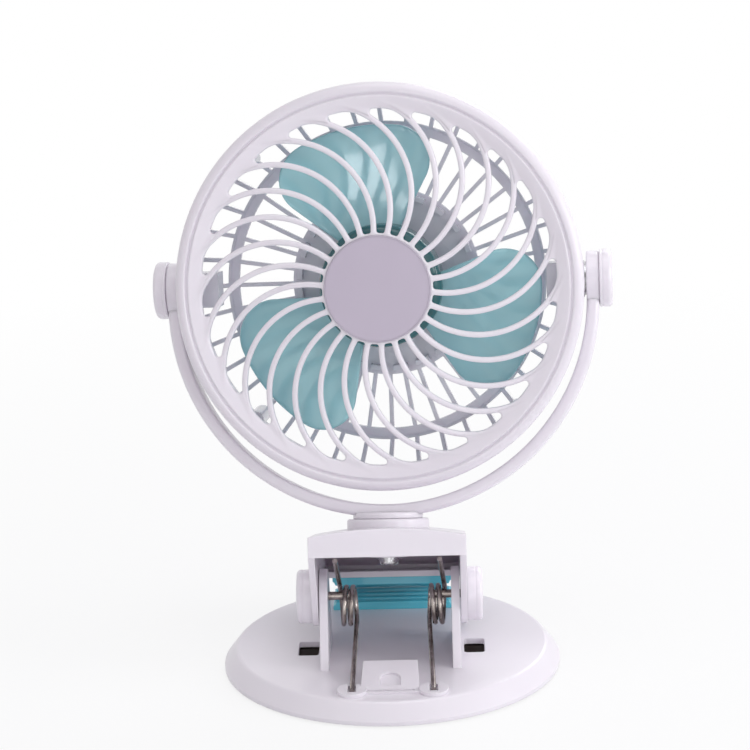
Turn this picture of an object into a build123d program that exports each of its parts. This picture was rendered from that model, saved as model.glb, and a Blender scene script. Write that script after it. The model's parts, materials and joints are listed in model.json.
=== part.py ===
from build123d import *
import os
from math import acos, atan2, cos, hypot, pi, radians, sin, sqrt, tan

# Clip fan: a round caged fan head in a U-shaped yoke, on a sprung clip whose
# lower jaw is a round desk base. Millimetres; +X is the viewer's right, -Y the
# front, +Z up. The origin is on the desk, under the middle of the base.

# ---------------------------------------------------------------- fits
press_gap = 0.02       # radial gap of pressed and screwed pieces
running_gap = 0.05     # radial gap of a turning journal
seat_gap = 0.1         # gap round a piece that drops into a seat
side_gap = 0.3         # gap beside a moving piece
first_screw = 45.0     # degrees from the X axis to the first screw of a ring of them

# ---------------------------------------------------------------- rest pose
lean = radians(18)     # the closed upper jaw lies this far back, and the neck with it
swivel_rest = -4.0     # degrees that the yoke is turned about the neck
head_pitch = 8.5       # degrees that the head looks below the yoke's own normal

# ---------------------------------------------------------------- base
base_radius = 61.0
base_slope = 4.6       # how far the skirt runs in, from the rim to the flat top
base_top_radius = base_radius - base_slope
base_clearance = 0.8   # desk to the lower edge of the base
foot_radius = 5.0
foot_height = 1.4
foot_inset = 13.0      # rim to the middle of a foot
foot_circle_radius = base_radius - foot_inset
feet_count = 4
base_top = 8.0         # height of the flat top above the desk
base_edge = 1.4        # upright edge under the slope
base_top_round = 2.0
base_skin = 2.2
base_wall = 3.4        # between the edge of the flat top and the hollow inside
base_cavity_radius = base_top_radius - base_wall
base_lip = 2.4         # rim to the edge of the bottom plate
bottom_plate_radius = base_radius - base_lip
bottom_plate = 1.6
ballast_margin = 4.0
ballast_radius = base_cavity_radius - ballast_margin
ballast = 2.6
base_screw_inset = 19.0
base_screw_circle_radius = base_radius - base_screw_inset
base_screws_count = 4
base_screw_radius = 1.2
base_screw_head_radius = 2.6
base_screw_head = 0.9
base_boss_radius = 3.2

# ---------------------------------------------------------------- hinge
hinge_y = -10.0
hinge_z = 29.6
pin_radius = 1.5
jaw_half = 27.6        # half the jaw's width
cheek = 2.3
ear = 3.0
ear_inner = jaw_half - cheek - side_gap - ear   # from the middle to an ear's inner face
ear_radius = 9.8
ear_foot = 8.0         # how far the ear's foot reaches beyond its round end
cap_radius = 9.65
cap_length = 5.6
cap_edge = 1.6
pin_in_cap = 3.4
pin_in_coil = 8.0      # how far each pin reaches inward from its ear
pin_inner_end = ear_inner - pin_in_coil
pin_outer_end = jaw_half + pin_in_cap

# ---------------------------------------------------------------- slots beside the ears
slot_length = 7.4      # across the fan
slot_width = 13.4      # front to back
slot_corner = 1.2
slot_gap = 1.2         # ear to slot
slot_centre = ear_inner + ear + slot_gap + slot_length / 2
slot_setback = 3.9     # hinge to the slots' middle
slot_y = hinge_y + slot_setback

# ---------------------------------------------------------------- tongue between the springs
tongue_front = -50.0
tongue_ledge = 2.5     # flat ledge at the foot of the slope
tongue_slope = 16.0    # the slope's run, front to back
tongue_rake = 1.2      # how far the back face leans
tongue_back_half = 9.6
tongue_front_half = 10.4
tongue_rise = 5.2      # crest above the disc
ledge_height = 1.0
thumb_mark_width = 7.2
thumb_mark_length = 7.4
thumb_mark_foot = 2.2  # the slope's foot to the mark
mark_depth = 0.9
groove_length = 17.0
groove_width = 1.0
groove_inset = 1.4     # front of the ledge to the middle of the groove

# ------------------------------------------------ upper jaw, along (s) and above (m) the hinge
jaw_front = -30.0
jaw_wall = 2.2
jaw_ceiling = 14.5
ceiling_plate = 2.0
roof = 24.3
roof_side = 21.7       # the roof arches down to this at the cheeks
roof_back = 16.0
tip_thickness = 3.7
tip_margin = 2.1       # upper pad to the jaw's tip
pad_contact = 0.41     # the pads' ridges, one over the other, when the clip is shut
throat = 24.0          # how near the hinge the clamped edge can come
cheek_radius = 10.5
pad_floor = 2.2
tip_wall = 8.5

# ---------------------------------------------------------------- pads
pad_half = 22.3
pad_body = 1.8
ridge_height = 1.2
ridge_width = 2.4
ridge_pitch = 4.6
ridge_margin = 1.0     # ridge's end to the pad's side
lower_pad_rim = 1.2    # disc's flat edge to the pad's round back
lower_pad_length = 23.2
lower_pad_front = base_top_radius - lower_pad_rim - lower_pad_length
upper_pad_length = 22.4
upper_pad_front = lower_pad_front - hinge_y     # over the lower pad when the jaw is level
upper_pad_end = upper_pad_front + upper_pad_length
jaw_tip = upper_pad_end + tip_margin
pad_height = pad_body + ridge_height
contact_z = base_top + pad_height + pad_contact
# the upper pad's seat, above the hinge's plane: its ridges just clear the lower pad's
pad_seat = (contact_z - hinge_z + upper_pad_end * sin(lean)) / cos(lean) + pad_height
tip_top = pad_seat + tip_thickness

# ---------------------------------------------------------------- springs
wire = 1.8
coil_radius = 6.6      # to the middle of the wire
coil_pitch = 2.45
whole_turns = 2
coil_hang = 0.4        # inside of the coil to the top of the pin that it hangs on
coil_drop = coil_radius - wire / 2 - pin_radius - coil_hang
left_coil_inset = 7.0  # from an ear's inner face to the middle of the coil
right_coil_inset = 5.2
left_coil_x = left_coil_inset - ear_inner
right_coil_x = ear_inner - right_coil_inset
foot_lean = 1.2        # the lower legs lean outward
tip_lean = 1.5         # the upper legs lean to the left
foot_y = -46.0         # where the lower legs stand
foot_sink = 0.1
foot_boss_radius = 5.2
foot_boss = 1.4
foot_boss_ahead = 2.0
leg_tip_s = -25.0      # where the upper legs press, below the ceiling
leg_tip_gap = 0.3
pocket_width = 2.9
pocket_length = 9.0
pocket_depth = 1.2

# ---------------------------------------------------------------- neck swivel
collar_radius = 14.75
collar_height = 3.0
collar_edge = 1.0
collar_sink = 1.0
stem_radius = 6.0
stem_floor = 17.0
boss_radius = 9.0
ceiling_boss_radius = 7.0
ceiling_boss = 1.0
neck_radius = 12.5
neck_top = 5.2
swivel_screw_radius = 1.8
swivel_screw_length = 9.5
swivel_head_radius = 3.5
swivel_head = 2.0
swivel_head_round = 1.2
recess_length = 3.6    # cross recess in the head of the swivel screw
recess_width = 0.8
recess_depth = 1.0
swivel_washer_radius = 4.2
swivel_washer_thickness = 0.8

# ---------------------------------------------------------------- yoke, heights above the roof
ring_radius = 72.5     # of the head's front ring
yoke_gap = 0.6         # between the front ring and the yoke
yoke_inner_radius = ring_radius + yoke_gap
yoke_band = 4.7
yoke_depth = 12.0
yoke_bottom = 3.4
yoke_straight = 6.1    # upright stretch from the half circle to the pivots
eye_radius = 9.8
yoke_edge = 1.2
pivot_cap_radius = 10.4
pivot_cap_length = 4.6
pivot_cap_edge = 1.8
pivot_shoulder_radius = 2.5
pivot_thread_radius = 1.7
pivot_thread_length = 8.0
pivot_head_radius = 4.5
pivot_head = 1.8
pivot_washer_radius = 6.0
pivot_washer_thickness = 0.6

# ------------------------------------------------ head, forward distances from the pivot axis
ring_wall = 1.9
ring_back = 7.5
ring_face = 20.5
ring_round = 3.6
lip_width = 4.1        # rim to the middle of the crease
crease_radius = ring_radius - lip_width
crease_half = 0.5
crease_depth = 0.8
grille_thickness = 2.2
grille_dome = 2.4      # the middle stands this far ahead of the annulus
grille_hub_radius = 19.6
annulus = 5.3          # crease to the outer ends of the openings
opening_radius = crease_radius - annulus
spiral_ribs = 26
spiral_rib_width = 2.0
spiral_root_angle = 9.9
spiral_mid_radius = 50.9
spiral_mid_turn = 15.0
spiral_end_turn = 34.0
opening_round = 0.9
centre_cap_radius = 18.7
centre_cap_thickness = 1.5
centre_cap_stand = 0.3
centre_cap_edge = 0.6
grille_boss_wall = 1.6

shell_step = 0.5       # the rear housing is this much smaller than the ring
shell_radius = ring_radius - shell_step
shell_wall = 2.0
shell_back = -2.0      # where the rim turns into the cone
spigot_length = 4.5
spigot_wall = 1.6
cage_slope = 13.5      # how far the cone runs in, from the shell to the back wall
cage_radius = shell_radius - cage_slope
back_wall = -19.0
back_wall_thickness = 2.0
cage_ribs = 40
cage_rib_width = 1.5
band_width = 4.0
hub_radius = 33.0
hub_wall = 2.0
hub_back = -29.3
tab_ring = 3.5
tab_count = 24
tab_gap = 3.0
pivot_block_inner = 59.0
pivot_block_half = 6.2

housing_screw_inset = 6.5
housing_screw_circle_radius = ring_radius - housing_screw_inset
housing_screws_count = 4
housing_screw_radius = 1.05
housing_screw_length = 13.0
housing_head_radius = 2.1
housing_head = 1.6
housing_head_seat = 1.5
housing_boss_radius = 3.1
housing_boss_back = -7.5

cover_plate = 2.0
cover_edge = 1.4
cover_screw_x = 26.4
cover_screw_radius = 1.1
cover_screw_length = 7.0
cover_head_radius = 2.3
cover_head = 1.2
cover_boss_radius = 3.0

# ---------------------------------------------------------------- motor
motor_radius = 12.2
motor_wall = 0.8
motor_back = -18.5
motor_front = -7.5
motor_cup_wall = 1.9
motor_cup_lip = 1.2
end_cap = 1.0
end_cap_boss_radius = 4.0
end_cap_boss = 1.6
bearing_radius = 3.0
bearing_length = 2.0
shaft_radius = 1.0
shaft_back = -20.6
shaft_front = 8.0
magnet_thickness = 1.4
magnet_arc = 75.0      # half the span of one magnet, in degrees
magnet_back = -17.0
magnet_front = -9.5
core_radius = 9.0
core_back = -15.0
core_front = -10.2
core_hub_radius = 3.0
core_arm_width = 3.0
core_shoe_thickness = 1.6
rotor_arms = 3
winding_width = 5.6
winding_overhang = 1.1
commutator_radius = 2.4
commutator_back = -17.4
commutator_length = 1.2
brush_length = 4.0
brush_width = 1.6
terminal_x = 8.0
terminal_length = 3.0
terminal_width = 2.0
terminal_thickness = 0.5
motor_screw_x = 8.0
motor_screw_radius = 0.8
motor_screw_length = 2.1
motor_screw_head_radius = 1.6
motor_screw_head = 0.8

# ---------------------------------------------------------------- impeller
impeller_hub_radius = 22.0
impeller_hub_wall = 1.8
impeller_hub_back = -5.0
impeller_hub_front = 12.0
impeller_hub_round = 3.0
impeller_boss_radius = 4.0
impeller_boss_back = -4.4
blades = 3
blade_phase = 101.5
blade_tip_inset = 5.6  # blade tips inside the grille's openings
blade_tip_radius = opening_radius - blade_tip_inset
blade_thickness = 1.5
blade_root_span = 29.5     # half spans, in degrees
blade_tip_span = 36.0
blade_corner = 13.0
blade_root_pitch = 33.0
blade_mid_pitch = 24.0
blade_tip_pitch = 16.0
blade_plane_height = 2.0

# ---------------------------------------------------------------- electronics
battery_width = 32.0
battery_height = 19.0
battery_thickness = 5.5
battery_corner = 1.5
battery_up = 15.5
board_width = 42.0
board_height = 16.0
board_down = 12.2
board_thickness = 1.2
board_stand = 4.2
board_tab_width = 12.0
board_tab = 8.0
board_post_radius = 2.0
board_post_x = 17.0
socket_width = 9.0
socket_height = 3.2
socket_depth = 7.3
socket_wall = 0.4
socket_tongue = 0.7
socket_tongue_side = 1.2
switch_size = 6.0
switch_height = 2.2
button_radius = 4.5
button_edge = 0.5
button_stand = 0.8
button_flange = 1.0
button_flange_height = 0.8
button_stem_radius = 1.6
button_stem_gap = 0.9
lens_radius = 1.5
lens_length = 3.2
lens_x = 13.0
led_size = 2.0
led_height = 1.0

os.makedirs("parts", exist_ok=True)

# ---------------------------------------------------------------- frames
pin_axis_point = Vector(0, hinge_y, hinge_z)
# the jaw's frame stands on the hinge: X right, Y back along the jaw, Z up through the roof
jaw = Plane(origin=pin_axis_point, x_dir=(1, 0, 0), z_dir=(0, sin(lean), cos(lean)))
# side view of the jaw: x is s, y is m
jaw_side = Plane(origin=pin_axis_point, x_dir=jaw.y_dir, z_dir=(1, 0, 0))
# the yoke's frame stands on the roof, turned about the neck
yoke = Plane(jaw.location * Pos(0, 0, roof) * Rot(0, 0, swivel_rest))
yoke_front = Plane(yoke.location * Rot(90, 0, 0))
arc_height = yoke_bottom + yoke_inner_radius + yoke_band
pivot_height = arc_height + yoke_straight
# the head's frame is on the pivot axis: X right, Y up, Z forward
head = Plane(yoke.location * Pos(0, 0, pivot_height) * Rot(90 + head_pitch, 0, 0))
head_section = Plane(head.location * Rot(90, 0, 0))
head_axis = Axis(head.origin, head.z_dir)
# sections across the tilt axis
yoke_pivot_side = Plane(yoke.location * Pos(0, 0, pivot_height) * Rot(0, 90, 0))
head_side = Plane(head.location * Rot(0, 90, 0))

sides = (("left", -1), ("right", 1))


def polar(radius, angle):
    """Point at a radius and an angle in degrees."""
    return (radius * cos(radians(angle)), radius * sin(radians(angle)))


def touch_angle(outside, radius, side):
    """Angle at which a line from an outside point touches a circle about the origin."""
    reach = hypot(outside[0], outside[1])
    return atan2(outside[1], outside[0]) + side * acos(radius / reach)


def touch_point(outside, radius, side):
    """Point at which that line touches the circle."""
    turn = touch_angle(outside, radius, side)
    return (radius * cos(turn), radius * sin(turn))


# ---------------------------------------------------------------- layout of the springs
# angles round the coil, in the plane square to the pin, at which the legs leave it
foot_z = base_top - foot_sink
tip_m = jaw_ceiling - leg_tip_gap - wire / 2
tip_y = hinge_y + leg_tip_s * cos(lean) + tip_m * sin(lean)
tip_z = hinge_z - leg_tip_s * sin(lean) + tip_m * cos(lean)
foot_reach = (foot_y - hinge_y, foot_z - hinge_z + coil_drop)
tip_reach = (tip_y - hinge_y, tip_z - hinge_z + coil_drop)
low_turn = touch_angle(foot_reach, coil_radius, 1)
high_turn = touch_angle(tip_reach, coil_radius, -1)
coil_turn = 2 * pi * whole_turns + (high_turn - low_turn) % (2 * pi)
coil_steps = round(coil_turn / (pi / 2))
coil_run = coil_pitch * coil_turn / (2 * pi)
left_foot_x = left_coil_x + coil_run / 2 - foot_lean
right_foot_x = right_coil_x - coil_run / 2 + foot_lean

# ================================================================ base
plate_top = base_clearance + bottom_plate
edge_top = base_clearance + base_edge
cavity_top = base_top - base_skin
skin_middle = base_top - base_skin / 2

# the raised tongue: a wedge with a ledge at its foot, a thumb mark and a groove
slope_foot = tongue_front + tongue_ledge
slope_top = slope_foot + tongue_slope
slope_face = Plane(
    origin=(0, slope_foot, base_top + ledge_height),
    x_dir=(1, 0, 0),
    z_dir=(0, ledge_height - tongue_rise, tongue_slope),
)
mark_turn = thumb_mark_foot + thumb_mark_length - thumb_mark_width / 2
with BuildPart() as tongue:
    with BuildSketch(Plane.YZ.offset(-tongue_front_half)):
        with BuildLine():
            Polyline(
                (tongue_front, skin_middle),
                (tongue_front, base_top + ledge_height),
                (slope_foot, base_top + ledge_height),
                (slope_top, base_top + tongue_rise),
                (slope_top + tongue_rake, skin_middle),
                close=True,
            )
        make_face()
    extrude(amount=2 * tongue_front_half)
    with BuildSketch(Plane.XY.offset(skin_middle)):
        with BuildLine():
            Polyline(
                (-tongue_back_half, slope_top + tongue_rake),
                (tongue_back_half, slope_top + tongue_rake),
                (tongue_front_half, tongue_front),
                (-tongue_front_half, tongue_front),
                close=True,
            )
        make_face()
    extrude(amount=base_top + tongue_rise, mode=Mode.INTERSECT)
    with BuildSketch(slope_face):
        with BuildLine():
            Polyline(
                (-thumb_mark_width / 2, mark_turn),
                (-thumb_mark_width / 2, thumb_mark_foot),
                (thumb_mark_width / 2, thumb_mark_foot),
                (thumb_mark_width / 2, mark_turn),
            )
            CenterArc((0, mark_turn), thumb_mark_width / 2, 0, 180)
        make_face()
    extrude(amount=-mark_depth, mode=Mode.SUBTRACT)
    with BuildSketch(Plane.XY.offset(base_top)):
        with Locations((0, tongue_front + groove_inset)):
            Rectangle(groove_length, groove_width)
    extrude(amount=ledge_height, mode=Mode.SUBTRACT)

with BuildPart() as base_disc:
    with BuildSketch(Plane.XZ):
        with BuildLine():
            Polyline(
                (0, base_top),
                (base_top_radius, base_top),
                (base_radius, edge_top),
                (base_radius, base_clearance),
                (bottom_plate_radius + seat_gap, base_clearance),
                (bottom_plate_radius + seat_gap, plate_top),
                (base_cavity_radius, plate_top),
                (base_cavity_radius, cavity_top),
                (0, cavity_top),
                close=True,
            )
        make_face()
    revolve(axis=Axis.Z)
    rims = base_disc.edges().filter_by(GeomType.CIRCLE)
    fillet(rims.filter_by(lambda e: abs(e.radius - base_top_radius) < press_gap), radius=base_top_round)
    # round bosses for the base screws
    with BuildSketch(Plane.XY.offset(plate_top)):
        with PolarLocations(base_screw_circle_radius, base_screws_count, start_angle=first_screw):
            Circle(base_boss_radius)
    extrude(amount=base_top - plate_top - press_gap)
    with BuildSketch(Plane.XY.offset(plate_top)):
        with PolarLocations(base_screw_circle_radius, base_screws_count, start_angle=first_screw):
            Circle(base_screw_radius + press_gap)
    extrude(amount=cavity_top - plate_top, mode=Mode.SUBTRACT)
    with BuildSketch(Plane.XY):
        with Locations((-slot_centre, slot_y), (slot_centre, slot_y)):
            RectangleRounded(slot_length, slot_width, radius=slot_corner)
    extrude(amount=base_top + ear, mode=Mode.SUBTRACT)
    add(tongue.part)
    # round bosses for the feet of the springs, with a pocket in each
    with BuildSketch(Plane.XY.offset(skin_middle)):
        with Locations(
            (left_foot_x, foot_y - foot_boss_ahead), (right_foot_x, foot_y - foot_boss_ahead)
        ):
            Circle(foot_boss_radius)
    extrude(amount=base_top + foot_boss - skin_middle)
    with BuildSketch(Plane.XY.offset(base_top - pocket_depth)):
        with Locations((left_foot_x, foot_y), (right_foot_x, foot_y)):
            Rectangle(pocket_width, pocket_length)
    extrude(amount=pocket_depth + foot_boss, mode=Mode.SUBTRACT)
    # ears that carry the hinge pin
    for ear_x in (ear_inner, -ear_inner - ear):
        with BuildSketch(Plane.YZ.offset(ear_x)):
            with BuildLine():
                Polyline(
                    (hinge_y - ear_radius, hinge_z),
                    (hinge_y - ear_radius - ear_foot, base_top - seat_gap),
                    (hinge_y + ear_radius + ear_foot, base_top - seat_gap),
                    (hinge_y + ear_radius, hinge_z),
                    close=True,
                )
            make_face()
            with Locations((hinge_y, hinge_z)):
                Circle(ear_radius)
                Circle(pin_radius + press_gap, mode=Mode.SUBTRACT)
        extrude(amount=ear)
base_disc.part.label = "base_disc"
export_step(base_disc.part, "parts/base_disc.step")

with BuildPart() as base_bottom_plate:
    with BuildSketch(Plane.XY.offset(base_clearance)):
        Circle(bottom_plate_radius)
        with PolarLocations(base_screw_circle_radius, base_screws_count, start_angle=first_screw):
            Circle(base_screw_radius + seat_gap, mode=Mode.SUBTRACT)
        with Locations((-slot_centre, slot_y), (slot_centre, slot_y)):
            RectangleRounded(slot_length, slot_width, radius=slot_corner, mode=Mode.SUBTRACT)
    extrude(amount=bottom_plate)
    with BuildSketch(Plane.XY.offset(base_clearance)):
        with PolarLocations(base_screw_circle_radius, base_screws_count, start_angle=first_screw):
            Circle(base_screw_head_radius + seat_gap)
    extrude(amount=base_screw_head + seat_gap, mode=Mode.SUBTRACT)
    with BuildSketch(Plane.XY.offset(base_clearance)):
        with PolarLocations(foot_circle_radius, feet_count):
            Circle(foot_radius + press_gap)
    extrude(amount=foot_height - base_clearance, mode=Mode.SUBTRACT)
base_bottom_plate.part.label = "base_bottom_plate"
export_step(base_bottom_plate.part, "parts/base_bottom_plate.step")

with BuildPart() as ballast_plate:
    with BuildSketch(Plane.XY.offset(plate_top)):
        Circle(ballast_radius)
        with PolarLocations(base_screw_circle_radius, base_screws_count, start_angle=first_screw):
            Circle(base_boss_radius + side_gap, mode=Mode.SUBTRACT)
        with Locations((-slot_centre, slot_y), (slot_centre, slot_y)):
            RectangleRounded(slot_length, slot_width, radius=slot_corner, mode=Mode.SUBTRACT)
    extrude(amount=ballast)
ballast_plate.part.label = "ballast_plate"
export_step(ballast_plate.part, "parts/ballast_plate.step")

with BuildPart() as rubber_feet:
    with BuildSketch(Plane.XY):
        with PolarLocations(foot_circle_radius, feet_count):
            Circle(foot_radius)
    extrude(amount=foot_height)
rubber_feet.part.label = "rubber_feet"
export_step(rubber_feet.part, "parts/rubber_feet.step")

with BuildPart() as base_screws:
    with BuildSketch(Plane.XY.offset(base_clearance + seat_gap)):
        with PolarLocations(base_screw_circle_radius, base_screws_count, start_angle=first_screw):
            Circle(base_screw_head_radius)
    extrude(amount=base_screw_head)
    with BuildSketch(Plane.XY.offset(base_clearance + seat_gap + base_screw_head)):
        with PolarLocations(base_screw_circle_radius, base_screws_count, start_angle=first_screw):
            Circle(base_screw_radius)
    extrude(amount=cavity_top - base_clearance - base_screw_head - 2 * seat_gap)
base_screws.part.label = "base_screws"
export_step(base_screws.part, "parts/base_screws.step")

# a short pin at each side, from inside the cap to inside the spring
with BuildPart() as hinge_pins:
    with BuildSketch(Plane.YZ.offset(pin_inner_end)):
        with Locations((hinge_y, hinge_z)):
            Circle(pin_radius)
    extrude(amount=pin_outer_end - pin_inner_end)
    mirror(about=Plane.YZ)
hinge_pins.part.label = "hinge_pins"
export_step(hinge_pins.part, "parts/hinge_pins.step")

lower_pad_radius = base_top_radius - lower_pad_rim
with BuildPart() as lower_pad:
    with BuildSketch(Plane.XY.offset(base_top)):
        Circle(lower_pad_radius)
        with Locations((0, lower_pad_front)):
            Rectangle(
                2 * pad_half, 2 * lower_pad_length, align=(Align.CENTER, Align.MIN),
                mode=Mode.INTERSECT,
            )
    extrude(amount=pad_body)
    with BuildSketch(Plane.XY.offset(base_top + pad_body)):
        with Locations((0, lower_pad_front + ridge_width / 2)):
            for row in range(1 + int((lower_pad_length - ridge_width) / ridge_pitch)):
                with Locations((0, row * ridge_pitch)):
                    Rectangle(2 * (pad_half - ridge_margin), ridge_width)
        Circle(lower_pad_radius - ridge_margin, mode=Mode.INTERSECT)
    extrude(amount=ridge_height)
lower_pad.part.label = "lower_pad"
export_step(lower_pad.part, "parts/lower_pad.step")

# ================================================================ upper jaw
lower_touch = touch_point((throat, pad_seat), cheek_radius, -1)
front_touch = touch_point((jaw_front, jaw_ceiling), cheek_radius, 1)
roof_slope = (roof - tip_top) / (jaw_tip - roof_back)
inner_drop = jaw_wall * sqrt(1 + roof_slope ** 2)
cavity_back = jaw_tip - tip_wall
cheek_inner = jaw_half - cheek
floor_top = pad_seat + pad_floor
collar_seat = roof - collar_sink

with BuildPart() as jaw_shell:
    # outer form: the side outline, cut to the arched section
    with BuildSketch(jaw_side.offset(-jaw_half)):
        with BuildLine():
            Polyline(
                (jaw_front, jaw_ceiling),
                (jaw_front, roof),
                (roof_back, roof),
                (jaw_tip, tip_top),
                (jaw_tip, pad_seat),
                (throat, pad_seat),
                lower_touch,
                front_touch,
                close=True,
            )
        make_face()
        Circle(cheek_radius)
    extrude(amount=2 * jaw_half)
    with BuildSketch(Plane(jaw.location * Pos(0, jaw_front - seat_gap, 0) * Rot(90, 0, 0))):
        with BuildLine():
            ThreePointArc((-jaw_half, roof_side), (0, roof), (jaw_half, roof_side))
            Polyline(
                (jaw_half, roof_side),
                (jaw_half, -cheek_radius - seat_gap),
                (-jaw_half, -cheek_radius - seat_gap),
                (-jaw_half, roof_side),
            )
        make_face()
    extrude(amount=jaw_front - jaw_tip - 2 * seat_gap, mode=Mode.INTERSECT)
    # room for the springs, the finger space and the hollow under the sloping roof
    with BuildSketch(jaw_side.offset(-cheek_inner)):
        with BuildLine():
            Polyline(
                (jaw_front - cheek, -cheek_radius - cheek),
                (jaw_front - cheek, jaw_ceiling),
                (roof_back, jaw_ceiling),
                (roof_back, roof - inner_drop),
                (cavity_back, roof - roof_slope * (cavity_back - roof_back) - inner_drop),
                (cavity_back, floor_top),
                (upper_pad_front - cheek, floor_top),
                (upper_pad_front - cheek, -cheek_radius - cheek),
                close=True,
            )
        make_face()
    extrude(amount=2 * cheek_inner, mode=Mode.SUBTRACT)
    # hollow between the ceiling and the roof, open to the back
    with BuildSketch(jaw_side.offset(-cheek_inner)):
        with BuildLine():
            Polyline(
                (jaw_front + jaw_wall, jaw_ceiling + ceiling_plate),
                (jaw_front + jaw_wall, roof_side - jaw_wall),
                (roof_back + seat_gap, roof_side - jaw_wall),
                (roof_back + seat_gap, jaw_ceiling + ceiling_plate),
                close=True,
            )
        make_face()
    extrude(amount=2 * cheek_inner, mode=Mode.SUBTRACT)
    # boss for the swivel stem
    with BuildSketch(jaw.offset(jaw_ceiling)):
        Circle(boss_radius)
    extrude(amount=roof - collar_sink - jaw_ceiling)
    with BuildSketch(jaw.offset(jaw_ceiling - ceiling_boss)):
        Circle(ceiling_boss_radius)
    extrude(amount=ceiling_boss + ceiling_plate / 2)
    with BuildSketch(jaw.offset(stem_floor)):
        Circle(stem_radius + running_gap)
    extrude(amount=roof - stem_floor, mode=Mode.SUBTRACT)
    with BuildSketch(jaw.offset(jaw_ceiling - ceiling_boss)):
        Circle(swivel_screw_radius + side_gap)
    extrude(amount=stem_floor, mode=Mode.SUBTRACT)
    with BuildSketch(jaw.offset(collar_seat)):
        Circle(collar_radius + seat_gap)
    extrude(amount=roof, mode=Mode.SUBTRACT)
    # bores for the hinge pin
    with BuildSketch(jaw_side.offset(-jaw_half)):
        Circle(pin_radius + running_gap)
    extrude(amount=2 * jaw_half, mode=Mode.SUBTRACT)
jaw_shell.part.label = "jaw_shell"
export_step(jaw_shell.part, "parts/jaw_shell.step")

with BuildPart() as upper_pad:
    with BuildSketch(jaw.offset(pad_seat - pad_body)):
        with Locations((0, upper_pad_front + upper_pad_length / 2)):
            Rectangle(2 * pad_half, upper_pad_length)
    extrude(amount=pad_body)
    with BuildSketch(jaw.offset(pad_seat - pad_body)):
        with Locations((0, upper_pad_front + ridge_width / 2)):
            for row in range(1 + int((upper_pad_length - ridge_width) / ridge_pitch)):
                with Locations((0, row * ridge_pitch)):
                    Rectangle(2 * (pad_half - ridge_margin), ridge_width)
    extrude(amount=-ridge_height)
upper_pad.part.label = "upper_pad"
export_step(upper_pad.part, "parts/upper_pad.step")

for side, sign in sides:
    cap_start = sign * jaw_half if sign > 0 else sign * (jaw_half + cap_length)
    with BuildPart() as hinge_cap:
        with BuildSketch(jaw_side.offset(cap_start)):
            Circle(cap_radius)
        extrude(amount=cap_length)
        outer_rim = hinge_cap.faces().sort_by(Axis.X)[-1 if sign > 0 else 0].edges()
        fillet(outer_rim, radius=cap_edge)
        with BuildSketch(jaw_side.offset(-pin_outer_end - seat_gap)):
            Circle(pin_radius + running_gap)
        extrude(amount=2 * (pin_outer_end + seat_gap), mode=Mode.SUBTRACT)
    hinge_cap.part.label = f"hinge_cap_{side}"
    export_step(hinge_cap.part, f"parts/hinge_cap_{side}.step")

# ================================================================ springs
def joined_arcs(start, start_way, end, end_way):
    """Two arcs, tangent to each other, from one point and direction to the next."""
    across = end - start
    ways = start_way + end_way
    a = 2 - 2 * start_way.dot(end_way)
    b = 2 * across.dot(ways)
    reach = (sqrt(b * b + 4 * a * across.dot(across)) - b) / (2 * a)
    first_corner = start + start_way * reach
    last_corner = end - end_way * reach
    middle = (first_corner + last_corner) * 0.5
    TangentArc(start, middle, tangent=start_way)
    TangentArc(middle, end, tangent=last_corner - first_corner)


def least_gap(path, samples=900):
    """Least clear gap between the turns of a wound wire, measured on points along it."""
    points = [path.position_at(i / samples) for i in range(samples + 1)]
    apart = int(samples * pi * coil_radius / path.length)
    return min(
        (points[i] - points[j]).length - wire
        for i in range(len(points))
        for j in range(i + apart, len(points))
    )


coil_y = hinge_y
coil_z = hinge_z - coil_drop
for side, coil_x, sign in (("left", left_coil_x, -1), ("right", right_coil_x, 1)):
    with BuildPart() as spring:
        with BuildLine() as spring_path:
            stations = []
            for step in range(coil_steps + 1):
                turn = low_turn + coil_turn * step / coil_steps
                place = Vector(
                    coil_x + sign * coil_run * (step / coil_steps - 0.5),
                    coil_y + coil_radius * cos(turn),
                    coil_z + coil_radius * sin(turn),
                )
                advance = sign * coil_pitch / (2 * pi)
                way = Vector(advance, -coil_radius * sin(turn), coil_radius * cos(turn))
                stations.append((place, way.normalized()))
            low_end, high_end = stations[0][0], stations[-1][0]
            foot_point = Vector(low_end.X + sign * foot_lean, foot_y, foot_z)
            tip_point = Vector(high_end.X - tip_lean, tip_y, tip_z)
            stations[0] = (low_end, (low_end - foot_point).normalized())
            stations[-1] = (high_end, (tip_point - high_end).normalized())
            Line(foot_point, low_end)
            for (start, start_way), (end, end_way) in zip(stations, stations[1:]):
                joined_arcs(start, start_way, end, end_way)
            Line(high_end, tip_point)
        with BuildSketch(Plane(origin=foot_point, z_dir=stations[0][1])):
            Circle(wire / 2)
        sweep(path=spring_path.wires()[0])
    print(f"spring_{side}: least gap to itself {least_gap(spring_path.wires()[0]):.2f} mm")
    spring.part.label = f"spring_{side}"
    export_step(spring.part, f"parts/spring_{side}.step")

# ================================================================ neck swivel
with BuildPart() as swivel_collar:
    with BuildSketch(jaw.offset(collar_seat)):
        Circle(collar_radius)
        Circle(stem_radius + running_gap, mode=Mode.SUBTRACT)
    extrude(amount=collar_sink + collar_height)
    top_rim = swivel_collar.edges().filter_by(GeomType.CIRCLE).sort_by(Axis.Z)[-2:]
    fillet(top_rim.sort_by(SortBy.RADIUS)[-1], radius=collar_edge)
swivel_collar.part.label = "swivel_collar"
export_step(swivel_collar.part, "parts/swivel_collar.step")

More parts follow.
